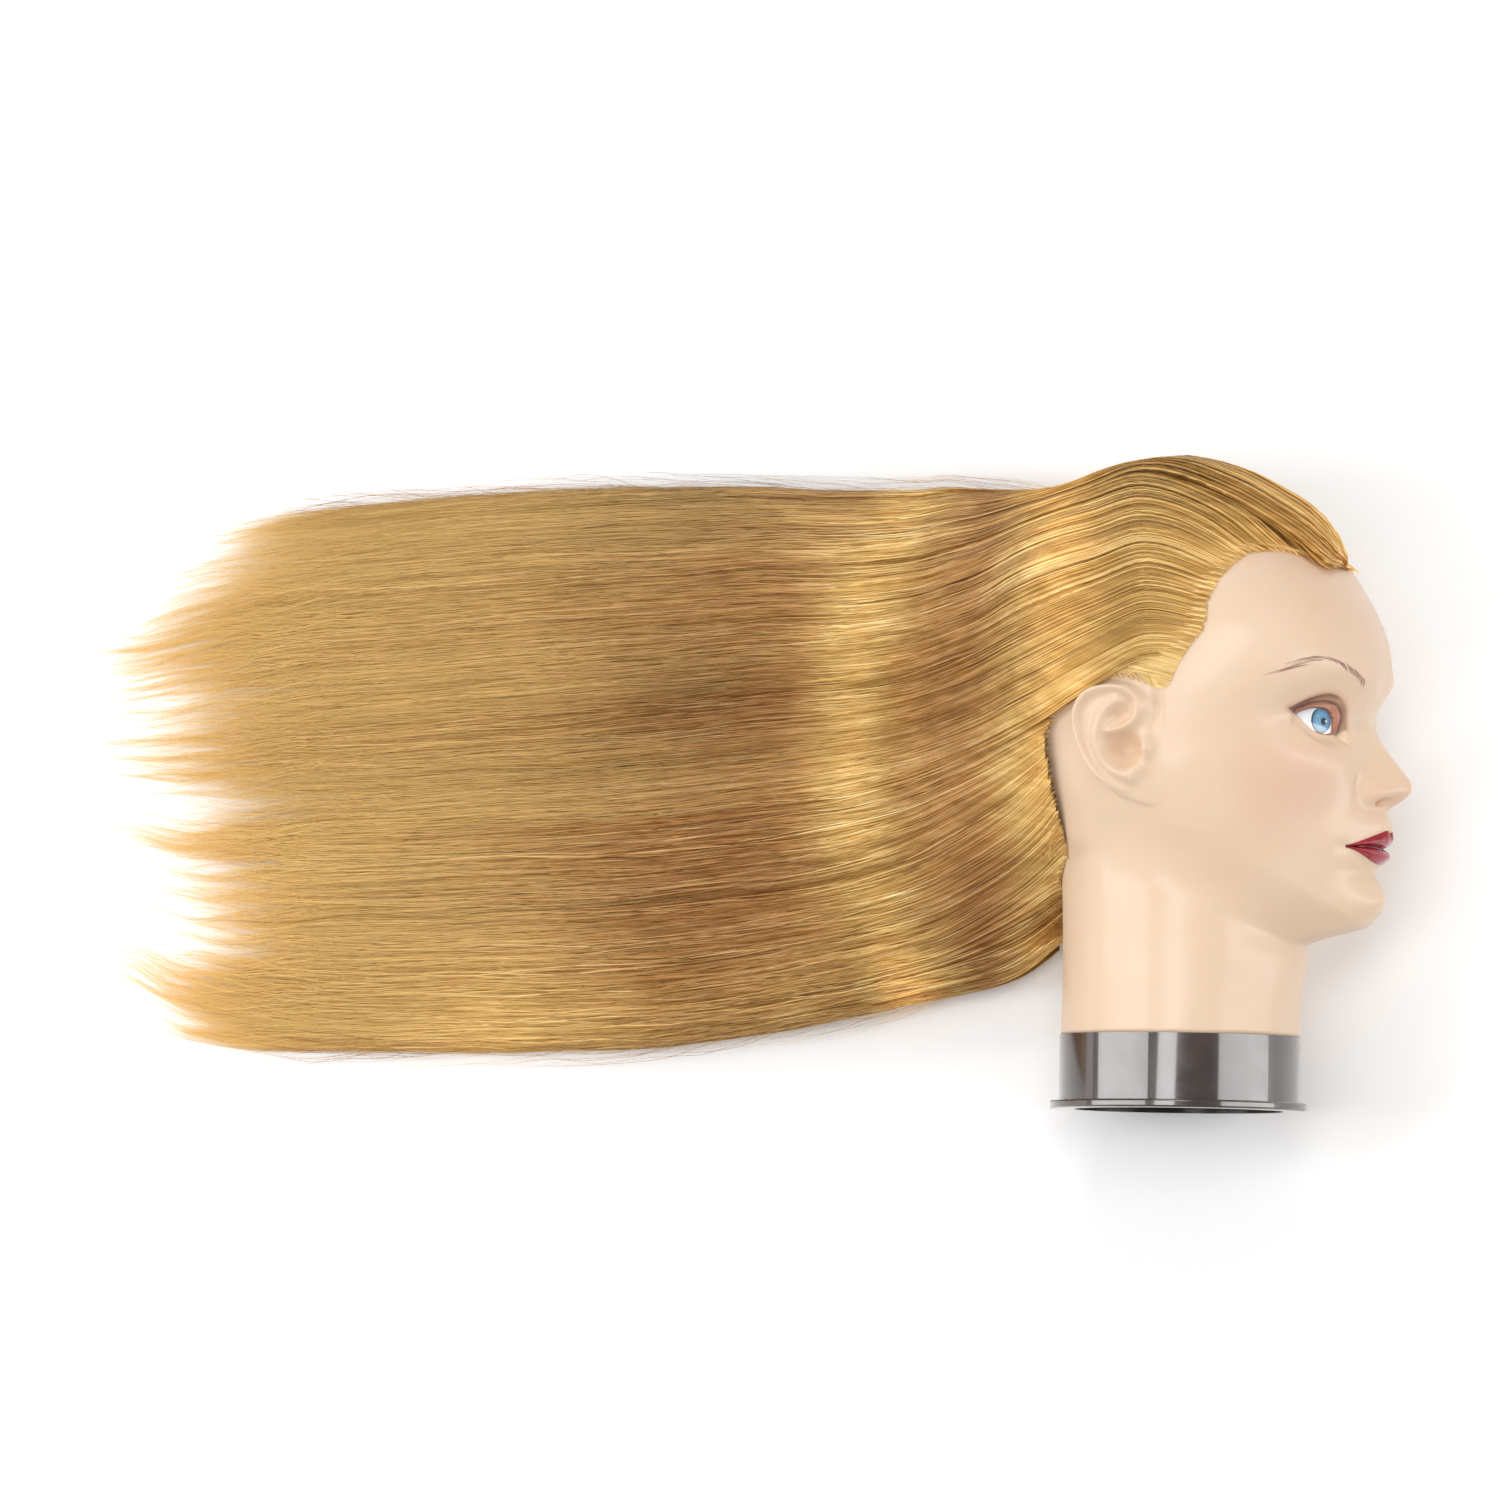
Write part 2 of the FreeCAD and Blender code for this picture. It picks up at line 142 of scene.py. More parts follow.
JAW_SOFTNESS = [(0, 5), (25, 7), (45, 11), (70, 17), (95, 24), (120, 26)]
NOSE_HEIGHT = [(136.5, 0), (140.2, 1.2), (143, 5.5), (145.2, 11), (148.3, 15.8), (151.8, 17.8), (154.8, 17.4),
               (159.5, 14.0), (166, 8.6), (174, 2.0), (182, -2.2), (189, -2.9), (197, -1.5), (206, 0)]
NOSE_WIDTH = [(131, 8), (142, 9.5), (148, 11), (153, 11), (161, 9.8), (169, 8.6), (180, 9), (190, 11),
              (206, 14)]
# Soft bumps on both halves of the face: rise, height, distance off the middle, reach up, reach across.
FACE_BUMPS = [
    (8.8, 98.5, 0, 10.5, 19),          # chin
    (1.2, 92, 8, 8, 12),
    (7.2, 123, 0, 18, 25),             # the arch of the teeth
    (5.2, 136.0, 0, 6.6, 15),          # upper lip's skin
    (-3.8, 256, 0, 38, 70),            # forehead
    (-2.4, 112, 0, 3.6, 15),           # fold above the chin
    (1.6, 165, 40, 14, 16),            # cheekbone
    (-1.4, 136, 40, 14, 12),           # hollow below it
    (1.6, 202, 20, 6, 16),             # brow
    (1.0, 209, 44, 6, 12),
    (-10.0, 185, 42, 12.5, 20),        # eye socket
    (-4.0, 184, 15, 8, 7),
    (5.2, 149.6, 12.5, 5.0, 4.2),      # wings of the nose
    (-1.8, 151.5, 18.6, 6.0, 2.6),
    (-8.0, 145.6, 6.8, 1.8, 3.4),      # nostrils
    (-1.1, 132.5, 0, 4.2, 2.0),        # groove under the nose
    (0.5, 131.5, 3.6, 4.0, 1.8)]
EYE_CENTRE = np.array([65.3, 181.5, 26.4])
EYE_TURN = math.radians(33)        # the eye looks outward, as the cheek's surface does
EYE_FRONT = 13.0                   # the eye's dome: how far forward, how deep and how wide
EYE_DEPTH = 9.0
EYE_REACH = 18.5
LID_THICKNESS = 1.4
EYE_LIFT = 0.1                     # how far the eye's paint stands off the dome


def bump(y, z, at_y, at_z, wide_y, wide_z):
    """A soft bump on both halves of the face, 1 at its middle."""
    return mound(y, np.abs(z), at_y, at_z, wide_y, wide_z)


def eye_plane(points):
    """Position on the eye in the plane that it faces: (towards the temple, up), per half."""
    z = np.abs(points[..., 2])
    forward = points[..., 0] - EYE_CENTRE[0]
    across = (z - EYE_CENTRE[2]) * math.cos(EYE_TURN) - forward * math.sin(EYE_TURN)
    return across, points[..., 1] - EYE_CENTRE[1]


# The eye's opening in its own plane: the corners, and the lids' edges above and below.
EYE_INNER = -6.2
EYE_OUTER = 15.0
UPPER_LID = [(-6.2, -4.6), (-5.8, -1.5), (-5.2, 2.0), (-4.2, 4.2), (-2, 5.8), (0.4, 6.4), (5.2, 6.7),
             (9.3, 5.9), (12.5, 4.7), (15, 3.1)]
LOWER_LID = [(-6.2, -4.6), (-4.5, -5.6), (-2.3, -5.8), (1, -5.6), (4, -5.1), (7, -3.8), (10.7, -1.0),
             (15, 3.1)]
# The fold over the lid from its inner end, and the upper edge of the shade painted over it.
LID_CREASE = [(-7.6, -6.0), (-9.4, -3.0), (-10.1, -0.5), (-9.9, 3.8), (-7.5, 7.0), (-3.9, 9.3), (1.5, 9.8),
              (7.4, 8.7), (13.8, 6.1), (19.5, 4.2)]
LID_SHADE = [(-12.4, -3.0), (-12.6, 2.0), (-11.6, 6.1), (-8, 9.9), (-1.8, 12.5), (3.9, 12.7), (11.8, 9.9),
             (18.3, 7.2), (21.5, 5.6)]
LID_FOOT = [(15, 3.1), (10.7, -1.0), (4, -5.1), (-2.3, -5.8)]
IRIS_MIDDLE = (1.0, 0.6)
IRIS_RADIUS = 6.1
PUPIL_MIDDLE = (-0.3, 0.3)
PUPIL_RADIUS = 2.1


def eye_opening(across, up):
    """How far inside the eye's opening a point is, negative outside it."""
    inside = np.minimum(curve(UPPER_LID, across) - up, up - curve(LOWER_LID, across))
    ends = np.minimum(across - EYE_INNER, EYE_OUTER - across)
    return np.minimum(inside, ends)


def soft_max(a, b, blend):
    """The larger of two surfaces, with a rounded crease where they meet."""
    share = np.clip(0.5 + 0.5 * (a - b) / blend, 0.0, 1.0)
    return b + (a - b) * share + blend * share * (1 - share)


def face_features(points):
    """Nose, eyes, lips, chin and cheeks, moved along x on the front of the head."""
    x, y, z = points[..., 0], points[..., 1], points[..., 2]
    front = smooth((x - 25) / 25)
    nose = curve(NOSE_HEIGHT, y) * np.exp(-np.abs(z / curve(NOSE_WIDTH, y)) ** 2.3)
    move = nose * ((y > 131) & (y < 206))
    for rise, *place in FACE_BUMPS:
        move = move + rise * bump(y, z, *place)
    points = points.copy()
    points[..., 0] = x + (move + lips_relief(y, z)) * front
    return eye_relief(points, front)


# The mouth from its middle to its corner: (distance from the middle, height).
LIP_CORNER = 23.5
LIP_TOP = [(0, 130.4), (2.2, 131.3), (4.6, 131.9), (9, 130.4), (15, 127.9), (20, 125.7), (23.5, 124.0)]
LIP_LINE = [(0, 123.8), (3, 123.4), (8, 123.9), (15, 124.1), (23.5, 123.8)]
LIP_BOTTOM = [(0, 116.2), (5, 116.3), (10, 117.3), (16, 120.0), (20.5, 122.3), (23.5, 123.6)]


def lips_relief(y, z):
    """Full lips with a crease between them, as a rise of the face's surface."""
    side = np.abs(z)
    top = curve(LIP_TOP, side)
    line = curve(LIP_LINE, side)
    bottom = curve(LIP_BOTTOM, side)
    fade = np.sqrt(np.clip(1 - (side / LIP_CORNER) ** 2, 0, 1))
    upper = np.clip((y - line) / (top - line), -0.3, 1.8)
    lower = np.clip((line - y) / (line - bottom), -0.3, 1.8)
    upper_form = np.exp(-((upper - 0.52) / 0.46) ** 2) * 3.3
    lower_form = np.exp(-((lower - 0.52) / 0.48) ** 2) * 3.9
    rise = np.where(y > line, upper_form, lower_form) * fade
    crease = 1.9 * np.exp(-((y - line) / 1.0) ** 2) * fade ** 0.4
    corner = 0.8 * bump(y, z, 123.8, 25, 3.2, 3.2)
    return rise - crease - corner


def eye_dome(flat):
    """Height of the eye's dome over its plane at a squared distance from its middle."""
    return EYE_FRONT - EYE_DEPTH * (1 - np.sqrt(np.clip(1 - flat / EYE_REACH ** 2, 0, 1)))


def eye_relief(points, front):
    """Eyeballs, lids and lid creases in the sockets."""
    out = points.copy()
    z = np.abs(points[..., 2])
    across, up = eye_plane(points)
    depth = (points[..., 0] - EYE_CENTRE[0]) * math.cos(EYE_TURN) + (z - EYE_CENTRE[2]) * math.sin(EYE_TURN)
    flat = across ** 2 + up ** 2
    opening = eye_opening(across, up)
    lid = smooth(0.5 - opening / 0.9)
    ball = eye_dome(flat) + LID_THICKNESS * lid
    near_lid = smooth(1 - np.clip(-opening, 0, None) / 7.5)
    rise = soft_max(ball, depth, 2.6) * (1 - near_lid) + ball * near_lid
    crease = 1.3 * np.exp(-(distance_to_line(across, up, rounded(LID_CREASE)) / 0.9) ** 2)
    crease = crease * smooth((20 - np.abs(across)) / 5) * smooth((up + 5) / 4)
    near = smooth((20 - np.sqrt(flat)) / 5) * front
    change = (np.where(opening > 0.4, ball, rise) - depth - crease) * near
    out[..., 0] += change * math.cos(EYE_TURN)
    out[..., 2] += change * math.sin(EYE_TURN) * np.sign(points[..., 2])
    return out


# ---- ears: lines over the side of the head, in its x and y -------------------------------------
EAR_EDGE = [(-6, 198), (-14, 198.5), (-24, 196.5), (-30, 191.5), (-33, 184), (-32.5, 175), (-29.5, 165),
            (-24.5, 155.5), (-18, 148.3), (-10, 143.2), (-1, 140.2), (7, 139.6), (10, 146), (10, 158),
            (8, 170), (7, 180), (4, 190)]
EAR_RIM = [(-14, 174.5), (-9, 176), (-3.5, 180), (-1.2, 185.5), (-2, 191), (-7, 195.2), (-14, 195.9),
           (-22.5, 193.8), (-27.6, 189), (-30.2, 182.5), (-29.8, 175), (-27, 166), (-22.2, 157.3),
           (-16.2, 150.8), (-9, 146.6)]
EAR_FOLD = [(-11, 189), (-17.5, 183), (-20.5, 174), (-19, 164.5), (-13.5, 157), (-5.5, 153.4)]
EAR_LIFT = [(-34, 12.5), (-24, 10.5), (-12, 6.5), (-3, 2.6), (4, 0.6), (10, 0)]


def distance_to_line(x, y, line):
    """Shortest distance from points to a line of straight pieces."""
    best = np.full(np.shape(x), 1e9)
    for (ax, ay), (bx, by) in zip(line, line[1:]):
        dx, dy = bx - ax, by - ay
        t = np.clip(((x - ax) * dx + (y - ay) * dy) / (dx * dx + dy * dy), 0, 1)
        best = np.minimum(best, np.hypot(x - ax - t * dx, y - ay - t * dy))
    return best


def inside_outline(x, y, outline):
    """True for the points inside a closed outline."""
    inside = np.zeros(np.shape(x), bool)
    for (ax, ay), (bx, by) in zip(outline, outline[1:] + outline[:1]):
        crosses = (ay > y) != (by > y)
        rise = by - ay if by != ay else 1e-9
        inside ^= crosses & (x < (bx - ax) * (y - ay) / rise + ax)
    return inside


def rounded(line, passes=2):
    """The same line with its corners cut, so that it bends smoothly."""
    for _ in range(passes):
        points = [line[0]]
        for (ax, ay), (bx, by) in zip(line, line[1:]):
            points.append((0.75 * ax + 0.25 * bx, 0.75 * ay + 0.25 * by))
            points.append((0.25 * ax + 0.75 * bx, 0.25 * ay + 0.75 * by))
        points.append(line[-1])
        line = points
    return line


def ear_relief(points):
    """Both ears, raised from the sides of the head."""
    x, y, z = points[..., 0], points[..., 1], points[..., 2]
    side = smooth((np.abs(z) - 35) / 15)
    edge = rounded(EAR_EDGE)
    inside = inside_outline(x, y, edge)
    depth = distance_to_line(x, y, edge + edge[:1])
    depth = np.where(inside, depth, -depth)
    plate = curve(EAR_LIFT, x) * smooth((depth + 0.5) / 2.6)
    rim = 3.6 * np.exp(-(distance_to_line(x, y, rounded(EAR_RIM)) / 2.0) ** 2)
    rim *= smooth((y - 143) / 12) * smooth((depth + 0.6) / 2.0)
    fold = 2.8 * np.exp(-(distance_to_line(x, y, rounded(EAR_FOLD)) / 2.7) ** 2)
    bowl = 9.0 * np.exp(-(((x + 9.5) / 6.8) ** 2 + ((y - 167) / 8.0) ** 2) ** 1.5)
    bowl += 3.5 * mound(x, y, -10.5, 182.5, 5.5, 4.2)
    tragus = 3.4 * mound(x, y, 1.0, 167.5, 2.4, 5.0)
    antitragus = 2.0 * mound(x, y, -4.0, 157.5, 3.5, 2.6)
    notch = 2.0 * mound(x, y, 5.5, 186, 2.0, 7.0)
    lift = plate + rim + (fold - bowl) * smooth(depth / 3) + tragus + antitragus - notch
    out = points.copy()
    out[..., 2] += lift * side * np.sign(z)
    out[..., 0] -= 0.12 * np.clip(lift, 0, None) * side
    return out


def plain_head(angle, height):
    """The head without features at an angle round the neck (0 is the face) and a height."""
    cosine, sine = np.cos(angle), np.sin(angle)
    back = -curve(HEAD_BACK, height) * np.abs(cosine)
    power = 2.0 / curve(FRONT_SQUARE, height)
    side = curve(FACE_SIDE, height)
    face_x = curve(FACE_FRONT, height) * np.abs(cosine) ** power
    face_z = side * np.abs(sine) ** power
    neck_x = curve(NECK_FRONT, height) * np.abs(cosine)
    neck_z = curve(NECK_SIDE, height) * np.abs(sine)
    degrees = np.degrees(np.abs((angle + math.pi) % (2 * math.pi) - math.pi))
    jaw = smooth(0.5 + (height - curve(JAW_HEIGHT, degrees)) / (2 * curve(JAW_SOFTNESS, degrees)))
    front_x = neck_x + (face_x - neck_x) * jaw
    front_z = neck_z + (face_z - neck_z) * jaw
    back_z = neck_z + (side * np.abs(sine) - neck_z) * jaw
    x = np.where(cosine >= 0, front_x, back)
    z = np.where(cosine >= 0, front_z, back_z) * np.sign(sine)
    return np.stack([x, np.broadcast_to(height, x.shape), z], axis=-1)


def head_surface(angle, height):
    """A point of the finished head."""
    return ear_relief(face_features(plain_head(angle, height)))


def spread(stops):
    """Evenly spaced values in each stretch of (start, end, spacing)."""
    values = []
    for start, end, spacing in stops:
        count = max(1, round((end - start) / spacing))
        values += list(np.linspace(start, end, count, endpoint=False))
    return values + [stops[-1][1]]


# The edge of the hair on the head, in its x and y, from the forehead round the ear to the nape.
HAIRLINE = [(85, 253), (58, 262), (44, 260), (35, 249), (29.5, 237), (28.5, 223), (21, 214), (15.5, 205),
            (11, 194), (3, 197), (-10, 201), (-27, 197), (-44, 187), (-52.5, 173), (-51, 150), (-48.5, 132),
            (-46, 117)]
HAIR_AREA = HAIRLINE + [(-140, 117), (-140, 330), (120, 330), (120, 253)]


# ---- meshes -----------------------------------------------------------------------------------
def make_object(name, vertices, groups, material, attributes=None, smooth_faces=True):
    """A mesh object from (n, 3) world millimetres and arrays of faces, each (count, corners)."""
    corners = np.concatenate([group.ravel() for group in groups])
    sizes = np.concatenate([np.full(len(group), group.shape[1]) for group in groups])
    mesh = bpy.data.meshes.new(name)
    mesh.vertices.add(len(vertices))
    mesh.vertices.foreach_set("co", (vertices / 1000).ravel())
    mesh.loops.add(len(corners))
    mesh.loops.foreach_set("vertex_index", corners)
    mesh.polygons.add(len(sizes))
    mesh.polygons.foreach_set("loop_start", np.cumsum(sizes) - sizes)
    mesh.update(calc_edges=True)
    mesh.validate()
    mesh.polygons.foreach_set("use_smooth", np.full(len(sizes), smooth_faces))
    for key, values in (attributes or {}).items():
        mesh.attributes.new(key, "FLOAT", "POINT").data.foreach_set("value", np.ravel(values))
    mesh.materials.append(material)
    made = bpy.data.objects.new(name, mesh)
    bpy.context.scene.collection.objects.link(made)
    return made


def make_piece(name, vertices, groups, material, attributes=None, replaces=(), smooth_faces=True):
    """A piece of the object and the CAD nodes that it stands for."""
    piece = make_object(name, vertices, groups, material, attributes, smooth_faces)
    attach(piece, "root")
    for node in replaces:
        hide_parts(node)


def grid_faces(rows, columns, closed):
    """Quads of a grid of points; closed joins the last column to the first."""
    last = columns if closed else columns - 1
    row, column = np.meshgrid(np.arange(rows - 1), np.arange(last), indexing="ij")
    following = (column + 1) % columns
    corners = [row * columns + column, row * columns + following,
               (row + 1) * columns + following, (row + 1) * columns + column]
    return np.stack(corners, axis=-1).reshape(-1, 4)


def end_fans(rows, columns):
    """Triangles from a closed grid's first and last rows to the two points that follow the grid."""
    column = np.arange(columns)
    following = (column + 1) % columns
    first = np.full(columns, rows * columns)
    last = (rows - 1) * columns
    return [np.stack([first, following, column], axis=-1),
            np.stack([last + column, last + following, first + 1], axis=-1)]


def capped_faces(rows, columns):
    """Faces of a closed grid with a flat face at each end."""
    ends = [np.arange(columns)[::-1], np.arange((rows - 1) * columns, rows * columns)]
    return [grid_faces(rows, columns, True)] + [end[None] for end in ends]


# ---- materials --------------------------------------------------------------------------------
class Nodes:
    """Short way to write a material's nodes."""

    def __init__(self, name):
        self.material = bpy.data.materials.new(name)
        self.material.use_nodes = True
        self.tree = self.material.node_tree
        self.shader = self.tree.nodes["Principled BSDF"]

    def feed(self, socket, value):
        """A link or a plain value into a socket."""
        if hasattr(value, "is_linked"):
            self.tree.links.new(value, socket)
        elif socket.type == "RGBA":
            socket.default_value = (*value, 1)
        else:
            socket.default_value = value

    def add(self, kind, inputs=None, **settings):
        """A node with its settings, and its inputs by name or number."""
        node = self.tree.nodes.new("ShaderNode" + kind)
        for key, value in settings.items():
            setattr(node, key, value)
        for key, value in (inputs or {}).items():
            self.feed(node.inputs[key], value)
        return node

    def noise(self, vector, scale, detail=2.0, roughness=0.5):
        """Noise from 0 to 1 with its middle near 0.5."""
        inputs = {"Vector": vector, "Scale": scale, "Detail": detail, "Roughness": roughness}
        return self.add("TexNoise", inputs).outputs["Fac"]

    def ramp(self, value, stops):
        """Colours blended along a value."""
        node = self.add("ValToRGB", {"Fac": value})
        elements = node.color_ramp.elements
        while len(elements) < len(stops):
            elements.new(0.5)
        for element, (place, colour) in zip(elements, stops):
            element.position = place
            element.color = (*colour, 1)
        return node.outputs["Color"]

    def tones(self, value, dark, light):
        """Two colours blended along the middle of a value."""
        return self.ramp(value, [(0.3, dark), (0.7, light)])

    def levels(self, value, *stops):
        """Plain amounts blended along a value, each stop a (place, amount)."""
        return self.ramp(value, [(place, (amount,) * 3) for place, amount in stops])

    def mix(self, share, a, b):
        """Two colours mixed by a share."""
        return self.add("Mix", {0: share, 6: a, 7: b}, data_type="RGBA").outputs[2]

    def maths(self, operation, a, b=0.0, clamp=False):
        """One sum of two values."""
        return self.add("Math", {0: a, 1: b}, operation=operation, use_clamp=clamp).outputs[0]

    def scaled(self, vector, factors):
        """A vector stretched along its axes."""
        return self.add("Mapping", {"Vector": vector, "Scale": factors}).outputs[0]

    def bump(self, height, strength, distance):
        """A bumped normal, into the shader."""
        node = self.add("Bump", {"Height": height, "Strength": strength, "Distance": distance})
        self.out("Normal", node.outputs[0])

    def out(self, socket, value):
        """A link or a plain value into one of the shader's sockets."""
        self.feed(self.shader.inputs[socket], value)

    def place(self):
        """Object coordinates, in metres."""
        return self.add("TexCoord").outputs["Object"]

    def attribute(self, name):
        """A value stored on the mesh's points."""
        return self.add("Attribute", attribute_name=name).outputs["Fac"]


def srgb(red, green, blue):
    """A colour given as 0 to 255 screen values, as the shader's linear values."""
    shares = [value / 255 for value in (red, green, blue)]
    return tuple(((share + 0.055) / 1.055) ** 2.4 if share > 0.04 else share / 12.92 for share in shares)


# Colours laid over the vinyl in this order, each where the mesh's value of that name says.
SKIN_PAINTS = {"blush": (222, 164, 142), "shadow": (204, 150, 112), "copper": (172, 98, 70),
               "mauve": (112, 70, 66), "liner": (70, 38, 34), "scalp": (168, 118, 62)}


def skin_material():
    """Pale semi-gloss vinyl: warmer cheeks and brow, fine moulded texture."""
    n = Nodes("vinyl_skin")
    place = n.place()
    base = n.tones(n.noise(place, 14.0, 3.0), srgb(226, 196, 166), srgb(233, 206, 179))
    for paint, colour in SKIN_PAINTS.items():
        base = n.mix(n.attribute(paint), base, srgb(*colour))
    n.out("Base Color", base)
    n.out("Roughness", n.levels(n.noise(place, 60.0), (0.0, 0.46), (1.0, 0.54)))
    n.out("Subsurface Weight", 0.25)
    n.out("Subsurface Radius", (0.006, 0.003, 0.002))
    n.out("Subsurface Scale", 0.6)
    n.out("Coat Weight", 0.3)
    n.out("Coat Roughness", 0.17)
    n.bump(n.noise(place, 900.0, 2.0), 0.05, 0.0003)
    return n.material


# ---- the head's skin ----------------------------------------------------------------------------
def head_angles():
    """Angles round the head, closer together at the face and the ears."""
    right = spread([(0, 12, 0.6), (12, 40, 0.42), (40, 60, 0.8), (60, 80, 1.6), (80, 117, 0.6),
                    (117, 180, 4.0)])
    left = spread([(180, 243, 4.0), (243, 280, 0.9), (280, 320, 1.6), (320, 348, 0.5), (348, 360, 0.6)])
    return np.radians(np.array(right[:-1] + left[:-1]))


def head_heights():
    """Heights up the head, closer together at the features."""
    return np.array(spread([(35, 76, 2.2), (76, 90, 0.8), (90, 112, 1.0), (112, 132, 0.5), (132, 150, 0.6),
                            (150, 172, 1.0), (172, 197, 0.42), (197, 214, 1.4), (214, 260, 2.2),
                            (260, 286, 2.0), (286, 295.9, 1.0)]))


def head_skin():
    """The vinyl moulding as one closed mesh, with its blush, paint and scalp as values per point."""
    angle, height = np.meshgrid(head_angles(), head_heights())
    points = head_surface(angle, height)
    rim = points[0] * [0.93, 1.0, 0.93]
    grid = np.concatenate([rim[None], points])
    rows, columns = grid.shape[:2]
    vertices = np.vstack([grid.reshape(-1, 3), [[0, 35, 0]], [[0, 296.2, 0]]])
    x, y, z = vertices.T
    front = smooth((x - 30) / 20)
    blush = 0.32 * bump(y, z, 152, 50, 24, 22) + 0.16 * bump(y, z, 235, 0, 30, 50)
    blush += 0.2 * bump(y, z, 148, 6, 10, 12)
    covered = inside_outline(x, y, HAIR_AREA)
    scalp = smooth(distance_to_line(x, y, HAIRLINE) / 3 - 0.7) * covered
    world = to_world(vertices)
    world[:, 2] = np.maximum(world[:, 2], SKIN_CLEAR)                # the lower ear is pressed flat
    make_piece("head_skin_sculpt", world, [grid_faces(rows, columns, True), *end_fans(rows, columns)],
               skin_material(), {"blush": blush * front, "scalp": scalp, **eye_make_up(vertices, front)},
               ["head_skin"])


def eye_make_up(vertices, front):
    """Where the eyes' paint lies on the skin, as values from 0 to 1 per point."""
    across, up = eye_plane(vertices)
    away = np.clip(-eye_opening(across, up), 0, None)
    crease = rounded(LID_CREASE)
    shade = rounded(LID_SHADE)
    crease_away = distance_to_line(across, up, crease)
    shade_away = distance_to_line(across, up, shade)
    on_lid = inside_outline(across, up, crease + LID_FOOT)
    over_lid = inside_outline(across, up, shade + crease[::-1])
    temple = smooth((across + 2) / 12)
    shade_depth = np.where(over_lid | on_lid, shade_away, -shade_away)
    covered = smooth(0.5 + shade_depth / (2.4 - 1.2 * temple)) * smooth(crease_away / 0.5) * ~on_lid
    band = covered * (0.62 + 0.33 * temple + 0.2 * np.exp(-(shade_away / 0.8) ** 2))
    # A painted highlight: a lighter line in the band just above the crease.
    painted_crease_highlight = np.exp(-((crease_away - 1.1) / 0.45) ** 2) * smooth((9 - np.abs(across)) / 4)
    band = band * (1 - 0.6 * painted_crease_highlight)
    fade = np.where(shade_depth > 0, 1.0, np.exp(-(shade_away / 2.0) ** 2))
    crease_line = (0.85 + 0.15 * temple) * np.exp(-(crease_away / 0.5) ** 2) * smooth((19 - across) / 3)
    shade_line = 0.6 * np.exp(-(shade_away / 0.45) ** 2)
    shade_line = shade_line * smooth((across + 9) / 7) * smooth((20 - across) / 4)
    edge = np.exp(-(away / 0.4) ** 2) * (0.4 + 0.35 * smooth((up + 1) / 4))
    wing = 0.95 * mound(across, up, 17.6, 4.6, 2.8, 1.35)
    tear = 0.6 * mound(across, up, -7.9, -4.6, 1.4, 1.6)
    near = (np.hypot(across, up) < 26) * front * (np.abs(vertices[:, 2]) > 5)
    liner = np.maximum.reduce([crease_line, shade_line, edge, wing, tear])
    return {"shadow": 0.55 * fade * smooth((up + 6) / 6) * near,
            "copper": np.where(on_lid, 0.62 + 0.25 * smooth((-4 - across) / 5), 0) * near,
            "mauve": np.clip(0.85 * band, 0, 1) * near,
            "liner": np.clip(liner, 0, 1) * near}


def face_point(z, y):
    """The skin over a place on the front of the face, from its distance off the middle."""
    share = np.clip(np.abs(z) / curve(FACE_SIDE, y), 0, 0.999)
    angle = np.arcsin(share ** (curve(FRONT_SQUARE, y) / 2)) * np.sign(z)
    return head_surface(angle, y)


def lifted_grid(points, lift):
    """A grid of head points moved off the surface along its own normal."""
    normal = unit(np.cross(np.gradient(points, axis=0), np.gradient(points, axis=1)))
    forward = np.sign(np.sum(normal[..., 0]))
    return points + normal * forward * lift


def lips_material():
    """Glossy red paint with painted shade in the crease between the lips, and fine upright lip lines."""
    n = Nodes("lip_paint")
    place = n.place()
    lines = n.noise(n.scaled(place, (300.0, 60.0, 300.0)), 2.0, 3.0)
    base = n.tones(lines, srgb(136, 18, 34), srgb(178, 34, 52))
    # Painted shade darkens the paint along the crease between the lips.
    n.out("Base Color", n.mix(n.attribute("crease"), base, srgb(70, 8, 18)))
    n.out("Roughness", 0.22)
    n.out("Coat Weight", 0.5)
    n.out("Coat Roughness", 0.12)
    n.bump(lines, 0.25, 0.0003)
    return n.material


PAINT_LIFT = 0.16                  # how far the lips' paint stands off the skin


def lips():
    """Both lips as one thin layer of paint over the moulded lips."""
    share = np.linspace(-1, 1, 121)
    rows = np.linspace(0, 1, 33)
    z = LIP_CORNER * np.sin(share * math.pi / 2)
    side = np.abs(z)
    top = curve(LIP_TOP, side)
    line = curve(LIP_LINE, side)
    bottom = curve(LIP_BOTTOM, side)
    upper = 2 * rows[rows <= 0.5, None]
    lower = 2 * rows[rows > 0.5, None] - 1
    y = np.vstack([top + (line - top) * upper, line + (bottom - line) * lower])
    z = np.broadcast_to(z, y.shape)
    points = lifted_grid(face_point(z, y), PAINT_LIFT)
    # Painted shade along the crease between the lips.
    crease = np.exp(-((y - line) / 0.55) ** 2) * 0.8
    make_piece("lip_paint", to_world(points.reshape(-1, 3)), [grid_faces(*y.shape, False)],
               lips_material(), {"crease": crease})


